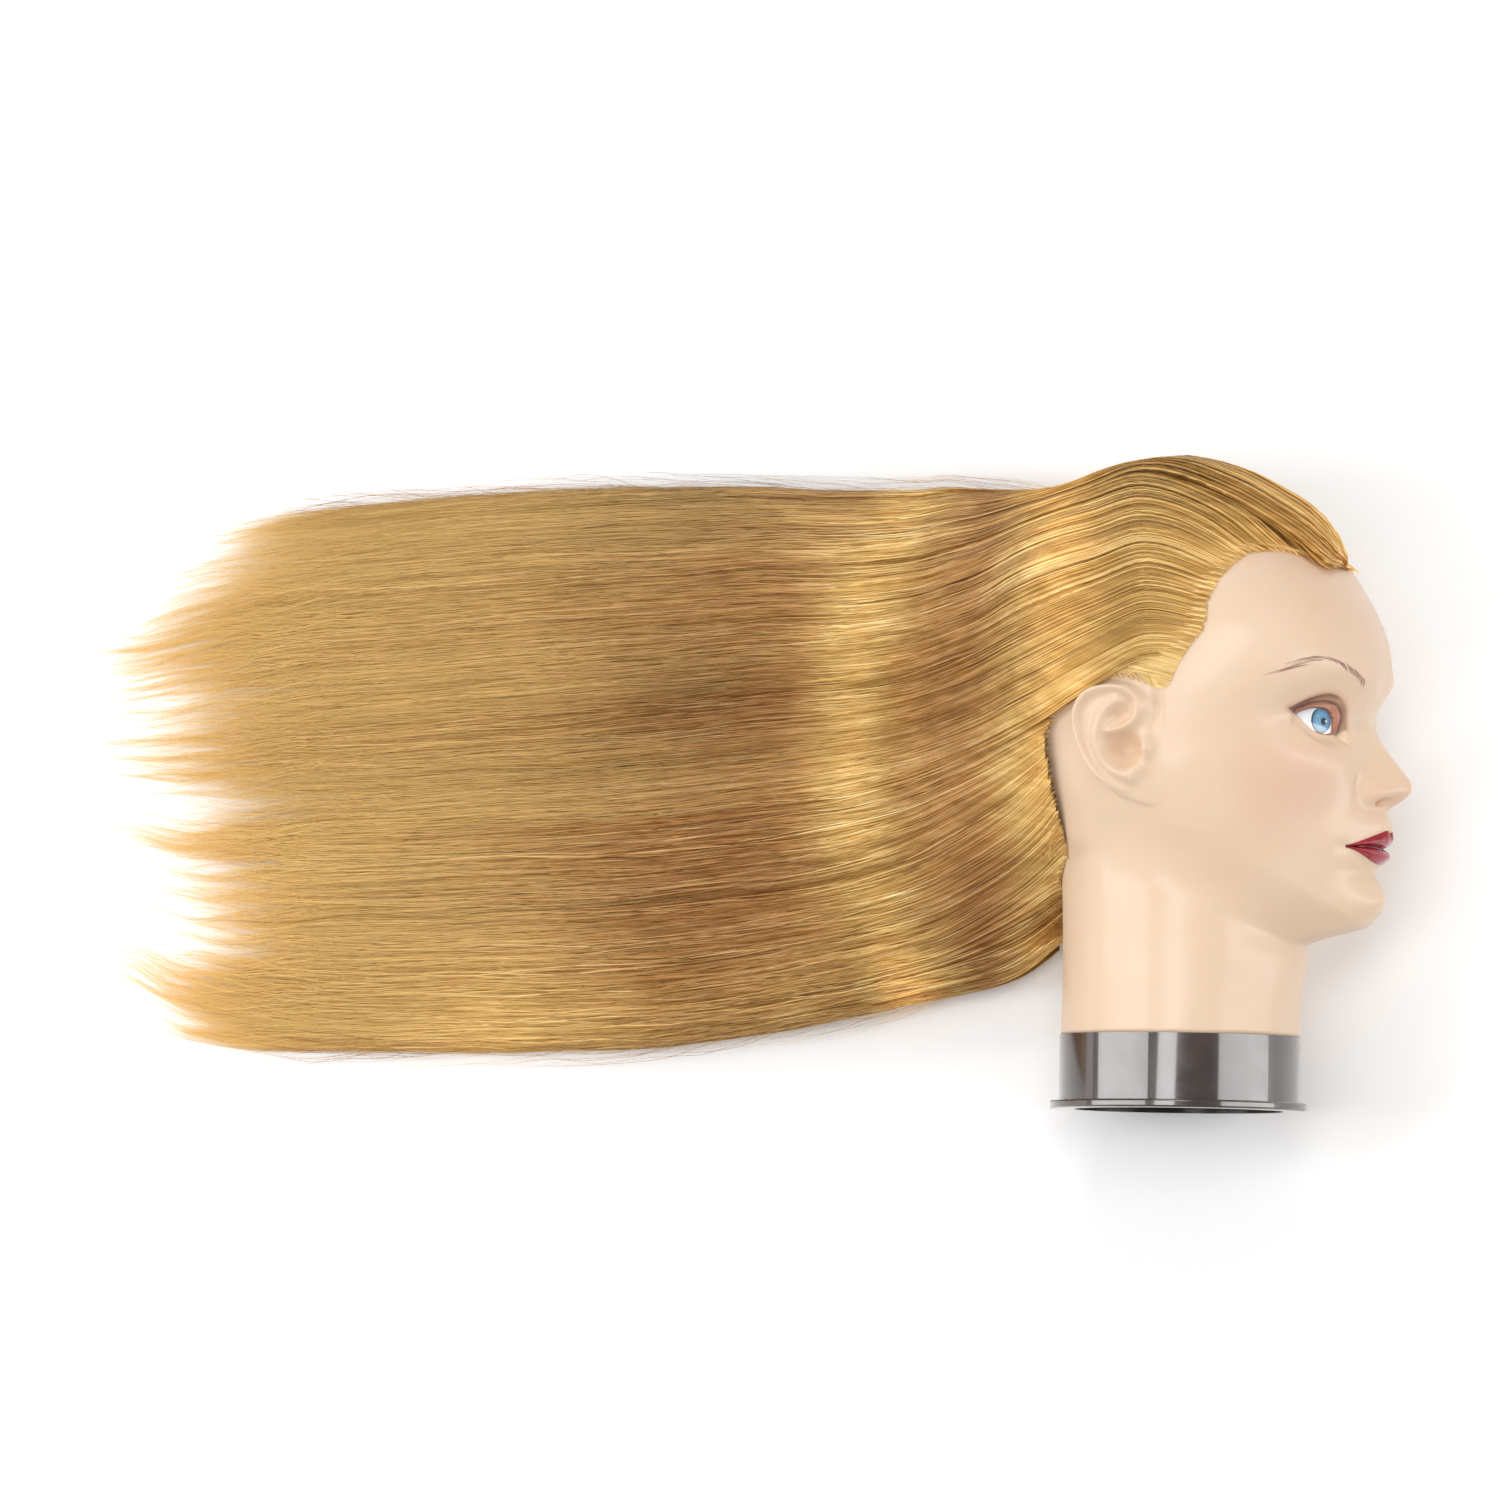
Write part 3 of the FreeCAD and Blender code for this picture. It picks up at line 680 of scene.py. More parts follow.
def eye_material():
    """White with painted shade under the lids, blue iris with a dark rim, pupil and a painted highlight for
    the catchlight, under a clear gloss.
    """
    n = Nodes("eye_paint")
    radius = n.attribute("iris_radius")
    turn = n.attribute("iris_turn")
    polar_place = n.add("CombineXYZ", {0: turn, 1: n.maths("MULTIPLY", radius, 0.6)}).outputs[0]
    rays = n.noise(polar_place, 5.0, 3.0)
    blue = n.ramp(rays, [(0.25, srgb(72, 128, 168)), (0.5, srgb(116, 168, 200)), (0.8, srgb(164, 202, 222))])
    iris = n.mix(n.levels(radius, (0.55, 0), (1.0, 1)), blue, srgb(62, 112, 150))
    rim = n.levels(radius, (0.84, 0), (0.9, 1), (0.99, 1), (1.0, 0))
    iris = n.mix(n.maths("MULTIPLY", rim, n.attribute("rim_side")), iris, srgb(30, 34, 46))
    pupil = n.levels(n.attribute("pupil_radius"), (0.7, 1), (1.0, 0))
    iris = n.mix(pupil, iris, srgb(52, 58, 66))
    # Painted shade of the lids greys the white.
    white = n.mix(n.attribute("painted_lid_shadow"), srgb(244, 244, 246), srgb(178, 180, 192))
    base = n.mix(n.levels(radius, (0.985, 1), (1.0, 0)), white, iris)
    # A painted highlight: the catchlight beside the pupil.
    n.out("Base Color", n.mix(n.attribute("painted_catchlight"), base, (0.95, 0.97, 1.0)))
    n.out("Roughness", n.levels(rays, (0.0, 0.12), (1.0, 0.18)))
    n.out("Coat Weight", 0.8)
    n.out("Coat Roughness", 0.05)
    return n.material


def eyes():
    """The painted front of each eye, just over the moulded dome."""
    material = eye_material()
    share = np.linspace(0, 1, 91)
    across = EYE_INNER + (EYE_OUTER - EYE_INNER) * (1 - np.cos(share * math.pi)) / 2
    rows = np.linspace(0, 1, 61)[:, None]
    low = curve(LOWER_LID, across)
    high = curve(UPPER_LID, across)
    up = low + (high - low) * rows
    across = np.broadcast_to(across, up.shape)
    depth = eye_dome(across ** 2 + up ** 2) + EYE_LIFT
    x = EYE_CENTRE[0] + depth * math.cos(EYE_TURN) - across * math.sin(EYE_TURN)
    z = EYE_CENTRE[2] + depth * math.sin(EYE_TURN) + across * math.cos(EYE_TURN)
    y = EYE_CENTRE[1] + up
    from_iris = (across - IRIS_MIDDLE[0], up - IRIS_MIDDLE[1])
    radius = np.hypot(*from_iris) / IRIS_RADIUS
    turn = np.arctan2(from_iris[1], from_iris[0]) * 3
    # Painted shade of the lids on the white: under the upper lid and along the lower.
    shade = 0.75 * np.exp(-((high - up) / 1.6) ** 2) + 0.35 * np.exp(-((up - low) / 0.8) ** 2)
    from_pupil = (across - PUPIL_MIDDLE[0], up - PUPIL_MIDDLE[1])
    pupil_radius = np.hypot(*from_pupil) / PUPIL_RADIUS
    rim_side = smooth(0.5 + 1.4 * (from_iris[0] - 0.7 * from_iris[1]) / IRIS_RADIUS)
    # A painted highlight for the catchlight, beside the pupil.
    painted_catchlight = smooth(1.4 - np.hypot(from_pupil[0] + 1.5, from_pupil[1] - 0.1) / 0.6)
    values = {"iris_radius": radius, "iris_turn": turn, "pupil_radius": pupil_radius,
              "rim_side": rim_side, "painted_lid_shadow": shade, "painted_catchlight": painted_catchlight}
    faces = grid_faces(*up.shape, False)
    for side, name in HALVES:
        points = np.stack([x, y, z * side], axis=-1).reshape(-1, 3)
        make_piece("eye_paint_" + name, to_world(points), [faces[:, ::side]], material, values)


# A brow from its tail to its inner end: (distance off the middle, height).
BROW_LINE = [(61.5, 202.6), (58, 207.4), (53, 210.6), (47, 210.4), (39, 207.4), (31, 203.6),
             (24.5, 200.0)]
# Lean of the strokes along it, in degrees above the level towards the nose.
BROW_LEAN = [(0, 36), (0.15, 26), (0.3, 2), (0.5, -40), (0.75, -56), (1, -64)]
BROW_CENTRE = np.array([0.0, 205.0, 0.0])
BROW_LIFT = 0.14                   # how far the paint stands off the skin
BROW_STROKES = 46
STROKE_POINTS = 9


def brow_material():
    """Thin matt brown paint."""
    n = Nodes("brow_paint")
    n.out("Base Color", n.tones(n.noise(n.place(), 400.0), srgb(140, 98, 86), srgb(172, 128, 112)))
    n.out("Roughness", 0.5)
    return n.material


def brow_stroke(share, at, lean, size, lift):
    """One tapered stroke at a share of the brow, its middle at a place: its two edges."""
    turn = math.radians(curve(BROW_LEAN, share) + 3 * (lean - 0.5))
    along = np.array([-math.cos(turn), math.sin(turn)])
    normal = np.array([-along[1], along[0]])
    length = 8.0 - 3.6 * smooth((share - 0.1) / 0.3) + 1.0 * size
    wide = (lift - 0.5) * (2.6 - 1.9 * smooth((share - 0.2) / 0.2))
    t = np.linspace(-0.5, 0.5, STROKE_POINTS)
    middle = at + np.outer(t * length, along) + np.outer(0.06 * length * (t * 2) ** 2 + wide, normal)
    width = (0.1 + 0.05 * size) * np.sqrt(np.clip(1 - (t * 2) ** 2, 0.02, 1))
    return [middle + normal * (edge * width)[:, None] for edge in (-1, 1)]


def brows():
    """Painted brows, one thin tapered stroke at a time."""
    material = brow_material()
    line = np.array(rounded(BROW_LINE, 3))
    steps = steps_along(line)
    edges = []
    for index, stroke in enumerate(RANDOM.random((BROW_STROKES, 3))):
        share = 0.02 + 0.96 * (index / (BROW_STROKES - 1)) ** 0.85
        at = [np.interp(share, steps / steps[-1], column) for column in line.T]
        edges += brow_stroke(share, np.array(at), *stroke)
    flat = np.concatenate(edges)
    first = 2 * STROKE_POINTS * np.arange(BROW_STROKES)[:, None] + np.arange(STROKE_POINTS - 1)
    corners = [first, first + 1, first + STROKE_POINTS + 1, first + STROKE_POINTS]
    faces = np.stack(corners, axis=-1).reshape(-1, 4)
    for side, name in HALVES:
        points = face_point(flat[:, 0] * side, flat[:, 1])
        points += unit(points - BROW_CENTRE) * BROW_LIFT
        make_piece("brow_paint_" + name, to_world(points), [faces], material)


def foam_material():
    """Rigid cream foam with open pores."""
    n = Nodes("rigid_foam")
    pores = n.noise(n.place(), 700.0, 4.0)
    n.out("Base Color", n.tones(pores, srgb(214, 200, 160), srgb(238, 228, 196)))
    n.out("Roughness", 0.9)
    n.bump(pores, 0.6, 0.0006)
    return n.material


FOAM_INSET = 8.0


def foam_core():
    """The foam inside the skin, set back from it all round."""
    angles = np.linspace(0, 2 * math.pi, 72, endpoint=False)
    heights = np.array(spread([(64, 280, 6.0), (280, 289, 3.0)]))
    angle, height = np.meshgrid(angles, heights)
    grid = plain_head(angle, height)
    features = face_features(grid)
    grid[..., 0] = np.minimum(grid[..., 0], features[..., 0])
    length = np.hypot(grid[..., 0], grid[..., 2])[..., None]
    grid[..., [0, 2]] *= np.clip(1 - FOAM_INSET / np.maximum(length, 1), 0.05, 1)
    make_piece("foam_fill", to_world(grid.reshape(-1, 3)), capped_faces(*angle.shape),
               foam_material(), replaces=["foam_core"], smooth_faces=False)


# ---- the hair ------------------------------------------------------------------------------------
# The hair's mass on the table, at places x along it from the neck's axis: its lowest and highest
# y from the base, its lowest and highest z, where the top line lies and how its flank falls.
HAIR_STATIONS = [
    (-500, 52, 268, 0, 7, 0.6, 1.0), (-472, 36, 282, 0, 11, 0.6, 1.0), (-430, 31, 291, 0, 18, 0.6, 1.0),
    (-370, 31, 298, 0, 27, 0.6, 1.0), (-310, 32, 303, 0, 38, 0.6, 1.0), (-255, 34, 305, 0, 52, 0.6, 1.0),
    (-205, 40, 305, 0, 72, 0.6, 1.1), (-162, 48, 303, 0, 81, 0.6, 1.2), (-132, 55, 303, 0, 90, 0.6, 1.3),
    (-104, 61, 306, 0, 110, 0.6, 1.4), (-76, 68, 312, 0, 138, 0.6, 1.5), (-50, 86, 314, 0, 158, 0.6, 1.5),
    (-22, 112, 313, 0, 169, 0.5, 1.0), (8, 118, 311, 2, 172, 0.5, 1.0), (38, 124, 303, 12, 168, 0.5, 1.0),
    (60, 140, 289, 34, 160, 0.5, 1.0), (73, 198, 271, 74, 144, 0.5, 1.0), (80, 240, 262, 106, 124, 0.5, 1.0)]
# Each section with its upper edge at the head and at the tips, as y from the base.
PARTINGS = [("neck", 122, 78), ("nape", 160, 115), ("ear", 200, 162), ("side", 240, 210),
            ("crown", 278, 255), ("top", 400, 400)]
PARTING_START = -60.0
PARTING_END = -440.0
# The upper sections hang from the right half of the head: over this height at this place, and sloping.
HALVES_HEIGHT = 60.0
HALVES_PLACE = -98.0
HALVES_SLOPE = 0.155
# How far the locks reach, from the crown's edge (0) to the nape's edge (1).
LOCK_REACH = [(-0.05, -422), (0, -436), (0.07, -466), (0.14, -486), (0.21, -500), (0.29, -510),
              (0.35, -496), (0.42, -500), (0.5, -488), (0.56, -470), (0.63, -486), (0.7, -474),
              (0.8, -476), (0.9, -470), (0.97, -460), (1.05, -440)]
TIP_GROUPS = 17                    # the tips gather in this many loose groups, with gaps between
FAR_REACH = -524                   # no strand goes past this place
SOFT_END = 25.0                    # over this length before it the strands are shortened softly
LONGEST_PAST_LOCK = 16             # how far a lock's longest strands go past its reach
# Painted light and shade along the mass, as how bright the fibres are: a painted highlight over the skull and
# a painted highlight band behind it, with painted shade between.
PAINTED_HAIR_LIGHT = [(-530, 1.12), (-450, 1.0), (-400, 0.92), (-323, 0.85), (-276, 0.74), (-229, 0.66), (-190, 0.78),
             (-160, 1.5), (-135, 1.05), (-110, 0.86), (-88, 1.22), (-62, 1.75), (-30, 1.3), (10, 1.5),
             (60, 1.75), (85, 1.8)]
SKULL_CENTRE = np.array([0.0, 200.0, 0.0])
STRANDS = 16500
STRAND_STEPS = 46
THINNEST = 0.26                    # a strand stands for a few fibres that cling together
THICKEST = 0.54
MOST_STRANDS = 2100                # a section with more is made as two or three objects
LOCKS = 900
UNDER_SHARE = 0.17                 # the share of the locks that lies under the mass
HAIR_DEPTH = 9.0                   # the strands lie in a layer of this thickness
NECK_TUCK = 42.0                   # strands from behind the neck come out below this height
STRAYS = 420
STRAY_STEPS = 18
TUFT_SPACING = 2.6
TUFT_HAIRS = 11
TEMPLE_BUNDLES = 34                # more and longer hairs in front of the ear
SCALP_PASSES = 12                  # the scalp's height is found in this many steps
CAP_LIFT = 0.4                     # how far the roots' mat stands off the scalp
CAP_MARGIN = 6                     # and how far it stays inside the hairline
UNDER_RINGS = [-62.0, -72, -82, -90, -100, -115, -132, -155, -180, -210, -240, -280, -320, -350, -378]
UNDER_COLUMNS = 240


def painted_hair_light(place):
    """Painted light and shade of the fibres at world places: a painted highlight band that bends towards the
    head at both edges, painted shade in the middle of the mass and by the nape, painted light along the lower
    edge and at the tips.
    """
    x = place[..., 0] - BASE_CENTRE[0]
    y = place[..., 1] - BASE_CENTRE[1]
    bend = 36 * ((y - 178) / 125) ** 2 * smooth((60 - np.abs(x + 130)) / 40)
    painted_shade_middle = 1 - 0.3 * mound(x, y, -226, 196, 42, 24)
    painted_shade_nape = 1 - 0.22 * smooth((x + 112) / 24) * smooth((150 - y) / 45)
    painted_light_lower_edge = 1 + 0.5 * smooth((95 - y) / 55) * smooth((x + 400) / 90)
    painted_light_tips = 1 + 0.08 * smooth((-330 - x) / 90) * smooth((165 - y) / 60)
    return curve(PAINTED_HAIR_LIGHT, x - bend) * painted_shade_middle * painted_shade_nape * painted_light_lower_edge * painted_light_tips


def polar_way(polar, azimuth):
    """Directions at angles down from the crown and round from the face."""
    level = np.sin(polar)
    return np.stack([level * np.cos(azimuth), np.cos(polar), level * np.sin(azimuth)], axis=-1)


def skull_map():
    """Distance from the skull's centre to the skin without ears, over polar angle and azimuth."""
    angles = np.radians(np.arange(0, 360, 3.0))
    heights = np.arange(36.0, 296.0, 2.5)
    angle, height = np.meshgrid(angles, heights)
    grid = face_features(plain_head(angle, height))
    points = np.vstack([grid.reshape(-1, 3), [[0, 36, 0]], [[0, 296, 0]]])
    groups = [grid_faces(*angle.shape, True), *end_fans(*angle.shape)]
    tree = BVHTree.FromPolygons(points.tolist(), [face for group in groups for face in group.tolist()])
    polar = np.radians(np.arange(0, 181, 2.0))
    azimuth = np.radians(np.arange(-180, 181, 2.0))
    distances = np.empty((len(polar), len(azimuth)))
    for row, down in enumerate(polar):
        for column, turn in enumerate(azimuth):
            way = Vector(polar_way(down, turn))
            distances[row, column] = tree.ray_cast(Vector(SKULL_CENTRE), way)[3] or 0
    return distances


def skull_distance(offsets):
    """Distance from the skull's centre to the skin along each offset, in the head frame."""
    length = np.linalg.norm(offsets, axis=-1)
    polar = np.degrees(np.arccos(np.clip(offsets[..., 1] / np.maximum(length, 1e-6), -1, 1))) / 2.0
    azimuth = (np.degrees(np.arctan2(offsets[..., 2], offsets[..., 0])) + 180) / 2.0
    row = np.clip(np.floor(polar).astype(int), 0, SKULL.shape[0] - 2)
    column = np.clip(np.floor(azimuth).astype(int), 0, SKULL.shape[1] - 2)
    down = polar - row
    turn = azimuth - column
    near = SKULL[row, column] * (1 - turn) + SKULL[row, column + 1] * turn
    far = SKULL[row + 1, column] * (1 - turn) + SKULL[row + 1, column + 1] * turn
    return near * (1 - down) + far * down


def hair_form(x):
    """The mass's measures at places along it."""
    table = np.array(HAIR_STATIONS, float)
    return [curve(np.stack([table[:, 0], table[:, column]], axis=1), x) for column in range(1, 7)]


def across_at(level, x):
    """Where a strand of a level lies across the mass: it leans down behind the ear and at the front."""
    lean = smooth((x + 180) / 145) ** 1.5
    all_over = 0.045 * np.sin(np.clip(level, 0, 1) * math.pi)
    behind_ear = 0.075 * np.exp(-((level - 0.76) / 0.1) ** 2)
    at_nape = 0.06 * smooth((x + 96) / 44) ** 1.3 * np.exp(-((level - 0.85) / 0.11) ** 2)
    front = 2.2e-4 * np.clip(x + 25, 0, None) ** 1.5
    front = front * np.clip(level / 0.18, 0, 1) * np.clip((0.75 - level) / 0.25, 0, 1)
    return level - ((all_over + behind_ear) * lean + at_nape) + front


def on_mass(x, across, under):
    """World place and outward direction on the hair's mass, over or under its waist."""
    # The section is flat at the table, widest at the waist and arched above it.
    low, high, z_low, z_high, peak, fall = hair_form(x)
    width = high - low
    y = high - across * width
    waist = z_low + (z_high - z_low) * (0.16 + 0.26 * smooth((x + 30) / 50))
    peak_y = low + width * peak
    crown_side = y > peak_y
    from_peak = np.where(crown_side, (y - peak_y) / (high - peak_y), (peak_y - y) / (peak_y - low))
    power = np.where(crown_side, 0.5, 0.5 * fall)
    top = waist + (z_high - waist) * np.clip(1 - from_peak ** 2, 0, 1) ** power
    middle = (high + low) / 2
    from_middle = np.clip((y - middle) / (width / 2), -1, 1)
    bottom = waist - (waist - z_low) * (1 - from_middle ** 2) ** (0.25 + 0.25 * smooth((x + 60) / 60))
    z = np.where(under, bottom, top)
    depth = np.where(under, waist - z_low, z_high - waist)
    outward = np.stack([np.zeros_like(y), from_middle * 2 / width, (z - waist) / depth ** 2 + 1e-5], axis=-1)
    return np.stack([BASE_CENTRE[0] + x, BASE_CENTRE[1] + y, z], axis=-1), unit(outward)


def strand_points(x, level, under, layer, from_root, behind_neck):
    """World places of strands: on the skull they lie on the skin, beyond it on the mass."""
    x, level, under, layer, from_root, behind_neck = np.broadcast_arrays(
        x, level, under, layer, from_root, behind_neck)
    place, outward = on_mass(x, across_at(level, x), under)
    # Past its root a strand settles to its own depth in the layer.
    sink = HAIR_DEPTH - layer
    place = place - outward * (sink * smooth(from_root / 60))[..., None]
    # Strands from behind the neck come out under it.
    drop = np.clip(place[..., 2] - NECK_TUCK, 0, None) * smooth((x + 90) / 32) * behind_neck
    place[..., 2] -= drop
    offset = to_head(place) - SKULL_CENTRE
    radius = np.linalg.norm(offset, axis=-1)
    skin = skull_distance(offset)
    # On the head a strand lies over the skin, a little puffed up towards the crown.
    lift = 0.5 + layer * smooth(from_root / 34) * (0.4 + 0.6 * smooth((from_root - 10) / 90))
    puff = 4.5 * smooth(from_root / 24) + 2.5 * smooth(from_root / 9) * smooth((x - 35) / 40)
    lift = lift + puff * np.clip(1 - level / 0.4, 0, 1) * smooth((x + 70) / 60) * ~under
    hold = smooth((x + 118) / 75) * (1 - behind_neck)
    wanted = radius + (skin + lift - radius) * hold
    wanted = np.maximum(wanted, np.where((x > -125) & (behind_neck < 0.5), skin + lift, 0))
    place = to_world(SKULL_CENTRE + offset * (wanted / radius)[..., None])
    radial = (offset / radius[..., None]) @ TURN
    outward = outward + (radial - outward) * hold[..., None]
    place[..., 2] = np.maximum(place[..., 2], STRAND_CLEAR)
    return place, outward


def strand_roots(level, under):
    """Where along x each strand leaves the scalp, and which strands come from behind the neck."""
    x = np.arange(86, -112, -1.5)
    place, _ = strand_points(x, level[:, None], under[:, None], 2.0, 0.0, 0.0)
    head_x, head_y, _ = np.moveaxis(to_head(place), -1, 0)
    inside = inside_outline(head_x, head_y, HAIR_AREA)
    bare = ~inside & (distance_to_line(head_x, head_y, HAIRLINE) > 3.0) & (head_y > 117)
    bare &= (x > -80) & ~((head_y > 186) & (head_x < 9))
    # A strand starts after the last place where it would cross bare skin.
    last_bare = len(x) - 1 - np.argmax(bare[:, ::-1], axis=1)
    last_bare = np.where(bare.any(axis=1), last_bare, 0)
    inside &= np.arange(len(x))[None, :] >= last_bare[:, None]
    first = np.argmax(inside, axis=1)
    rooted = inside.any(axis=1) & (x[first] > -95)
    lowest = level[~rooted & ~under].min()
    tucked = smooth((level - lowest) / 0.06 + 0.1)
    tucked = np.where(rooted, 0.0, tucked)
    return np.where(rooted, x[first], tucked_roots(level, under, tucked)), tucked


def tucked_roots(level, under, tucked):
    """Where strands from behind the neck start: just inside the skin, so that no end shows."""
    x = np.arange(-60, -30, 2.0)
    place, _ = strand_points(x, level[:, None], under[:, None], 5.0, 120.0, tucked[:, None])
    offset = to_head(place) - SKULL_CENTRE
    hidden = np.linalg.norm(offset, axis=-1) < skull_distance(offset) - 1.0
    return np.where(hidden.any(axis=1), x[np.argmax(hidden, axis=1)] + 2.0, -56.0)


def step_positions(start, end, steps):
    """Places from start to end, closer together where the hair bends."""
    x = np.arange(-560, 101, 2.0)
    density = 1 / (6 + 16 * smooth((-120 - x) / 120) - 10 * smooth((-400 - x) / 60))
    total = np.concatenate([[0], np.cumsum(density)[:-1]])
    begin = np.interp(start, x, total)[:, None]
    finish = np.interp(end, x, total)[:, None]
    share = np.linspace(0, 1, steps)
    return np.interp(begin + (finish - begin) * share, total, x)


def wave(x, length, phase):
    """A slow side-to-side wander along a strand."""
    return np.sin(x * 2 * math.pi / length + phase[:, None])


def strand_mesh(place, outward, roll, width, shade, start, finish):
    """Ribbons along the strands' places: points, faces and values per point."""
    count, steps = place.shape[:2]
    along = unit(np.gradient(place, axis=1))
    side = unit(np.cross(along, outward))
    normal = np.cross(side, along)
    wide = side * np.cos(roll)[:, None, None] - normal * np.sin(roll)[:, None, None]
    share = np.linspace(0, 1, steps)[None, :]
    taper = (0.35 + 0.65 * smooth(share / start)) * (0.12 + 0.88 * smooth((1 - share) / finish))
    half = wide * (width[:, None] * taper / 2)[..., None]
    points = np.stack([place - half, place + half], axis=2).reshape(-1, 3)
    base = (np.arange(count) * steps * 2)[:, None] + (np.arange(steps - 1) * 2)[None, :]
    faces = np.stack([base, base + 1, base + 3, base + 2], axis=-1).reshape(-1, 4)
    values = {"shade": np.repeat(shade, steps * 2),
              "along": np.repeat(np.broadcast_to(share, (count, steps)), 2),
              # The fibres' painted light and shade at each point.
              "painted_light": np.repeat(painted_hair_light(place), 2)}
    return points, [faces], values


SHADE_STOPS = (0.0, 0.35, 0.65, 1.0)
# Painted shade and light: a redder shaded copy and a yellower lit copy of the same fibre colours.
SHADED_FIBRE = ((120, 64, 26), (174, 106, 48), (206, 136, 73), (240, 178, 118))
LIT_FIBRE = ((116, 79, 36), (170, 130, 66), (202, 166, 100), (236, 216, 158))


def hair_material(name, light=0.0):
    """Honey blond fibre: every strand its own shade, paler towards the tips; the painted light and shade
    along the mass pick between a shaded and a lit copy of its colours and set their brightness.
    """
    n = Nodes(name)
    place = n.place()
    streaks = n.noise(n.scaled(place, (5.0, 160.0, 160.0)), 1.0, 3.0, 0.6)
    broad = n.noise(n.scaled(place, (7.0, 12.0, 12.0)), 1.0, 2.0)
    shade = n.attribute("shade")
    for noise, strength in ((streaks, 0.7), (broad, 0.5)):
        shade = n.maths("ADD", shade, n.maths("MULTIPLY", n.maths("SUBTRACT", noise, 0.5), strength))
    shade = n.maths("ADD", shade, light, clamp=True)
    shaded_copy, lit_copy = [n.ramp(shade, [(place, srgb(*colour)) for place, colour in zip(SHADE_STOPS, colours)])
                  for colours in (SHADED_FIBRE, LIT_FIBRE)]
    # Painted shade and light: the shaded copy where the painted light is low, the lit copy where it is high.
    base = n.mix(n.levels(n.maths("MULTIPLY", n.attribute("painted_light"), 0.5), (0.27, 0), (0.66, 1)), shaded_copy, lit_copy)
    tips = n.levels(n.attribute("along"), (0.66, 0), (0.97, 0.9))
    base = n.mix(tips, base, srgb(244, 206, 128))
    # Painted light and shade: the brightness follows the painted light.
    n.out("Base Color", n.add("HueSaturation", {"Color": base, "Value": n.attribute("painted_light")}).outputs[0])
    n.out("Roughness", n.levels(streaks, (0.0, 0.3), (1.0, 0.42)))
    n.out("Specular IOR Level", 1.0)
    n.out("Specular Tint", srgb(255, 226, 176))
    return n.material


def section_of(place):
    """Name of the section that each strand belongs to, from where it lies past the head."""
    x = place[:, 0] - BASE_CENTRE[0]
    y = place[:, 1] - BASE_CENTRE[1]
    share = (x - PARTING_START) / (PARTING_END - PARTING_START)
    right = place[:, 2] > HALVES_HEIGHT + HALVES_SLOPE * (x - HALVES_PLACE)
    names = np.full(len(x), "top", dtype="<U12")
    for name, near, far in reversed(PARTINGS):
        names[y < near + (far - near) * share] = name
    return np.char.add(names, np.where(right, "_right", "_left"))


def hair_strands(count, locks):
    """Levels, layers, tips and shades of the strands, drawn lock by lock."""
    spot = (RANDOM.random(locks) + np.arange(locks)) / locks
    lock_level = 0.5 - 0.5 * np.cos(spot * math.pi)
    lock_under = RANDOM.random(locks) < UNDER_SHARE
    lock_layer = HAIR_DEPTH * (1 - 0.62 * RANDOM.random(locks) ** 1.8)
    lock_shade = RANDOM.normal(0.5, 0.1, locks)
    lock_phase = RANDOM.random((2, locks)) * 2 * math.pi
    group_edge = np.linspace(0, 1, TIP_GROUPS + 1)[1:-1] + RANDOM.normal(0, 0.012, TIP_GROUPS - 1)
    lock_group = np.searchsorted(group_edge, lock_level)
    group_level = np.array([lock_level[lock_group == group].mean() for group in range(TIP_GROUPS)])
    group_reach = RANDOM.normal(0, 10, TIP_GROUPS)
    lock_reach = curve(LOCK_REACH, lock_level) + RANDOM.normal(0, 15, locks) + 14 + group_reach[lock_group]
    lock_turn = RANDOM.normal(0, 5.0, locks)
    lock = RANDOM.integers(0, locks, count)
    level = lock_level[lock] + RANDOM.normal(0, 0.014, count)
    level = np.where(level < 0, -level, level)
    level = np.clip(np.where(level > 1, 2 - level, level), 0.0008, 0.9992)
    under = lock_under[lock]
    layer = np.clip(lock_layer[lock] + RANDOM.normal(0, 1.0, count), 0.4, HAIR_DEPTH + 0.8)
    shade = lock_shade[lock] + RANDOM.normal(0, 0.15, count)
    phase = lock_phase[:, lock] + RANDOM.normal(0, 0.5, (2, count))
    short = np.abs(RANDOM.normal(0, 1, count)) * np.where(RANDOM.random(count) < 0.5, 34, 66)
    tip = lock_reach[lock] + short - LONGEST_PAST_LOCK
    past = np.clip(FAR_REACH + SOFT_END - tip, 0, None)
    tip = tip + past - SOFT_END * (1 - np.exp(-past / SOFT_END))
    gather = 0.72 * lock_level + 0.28 * group_level[lock_group]
    return level, under, layer, shade, phase, tip, gather[lock], lock_turn[lock]


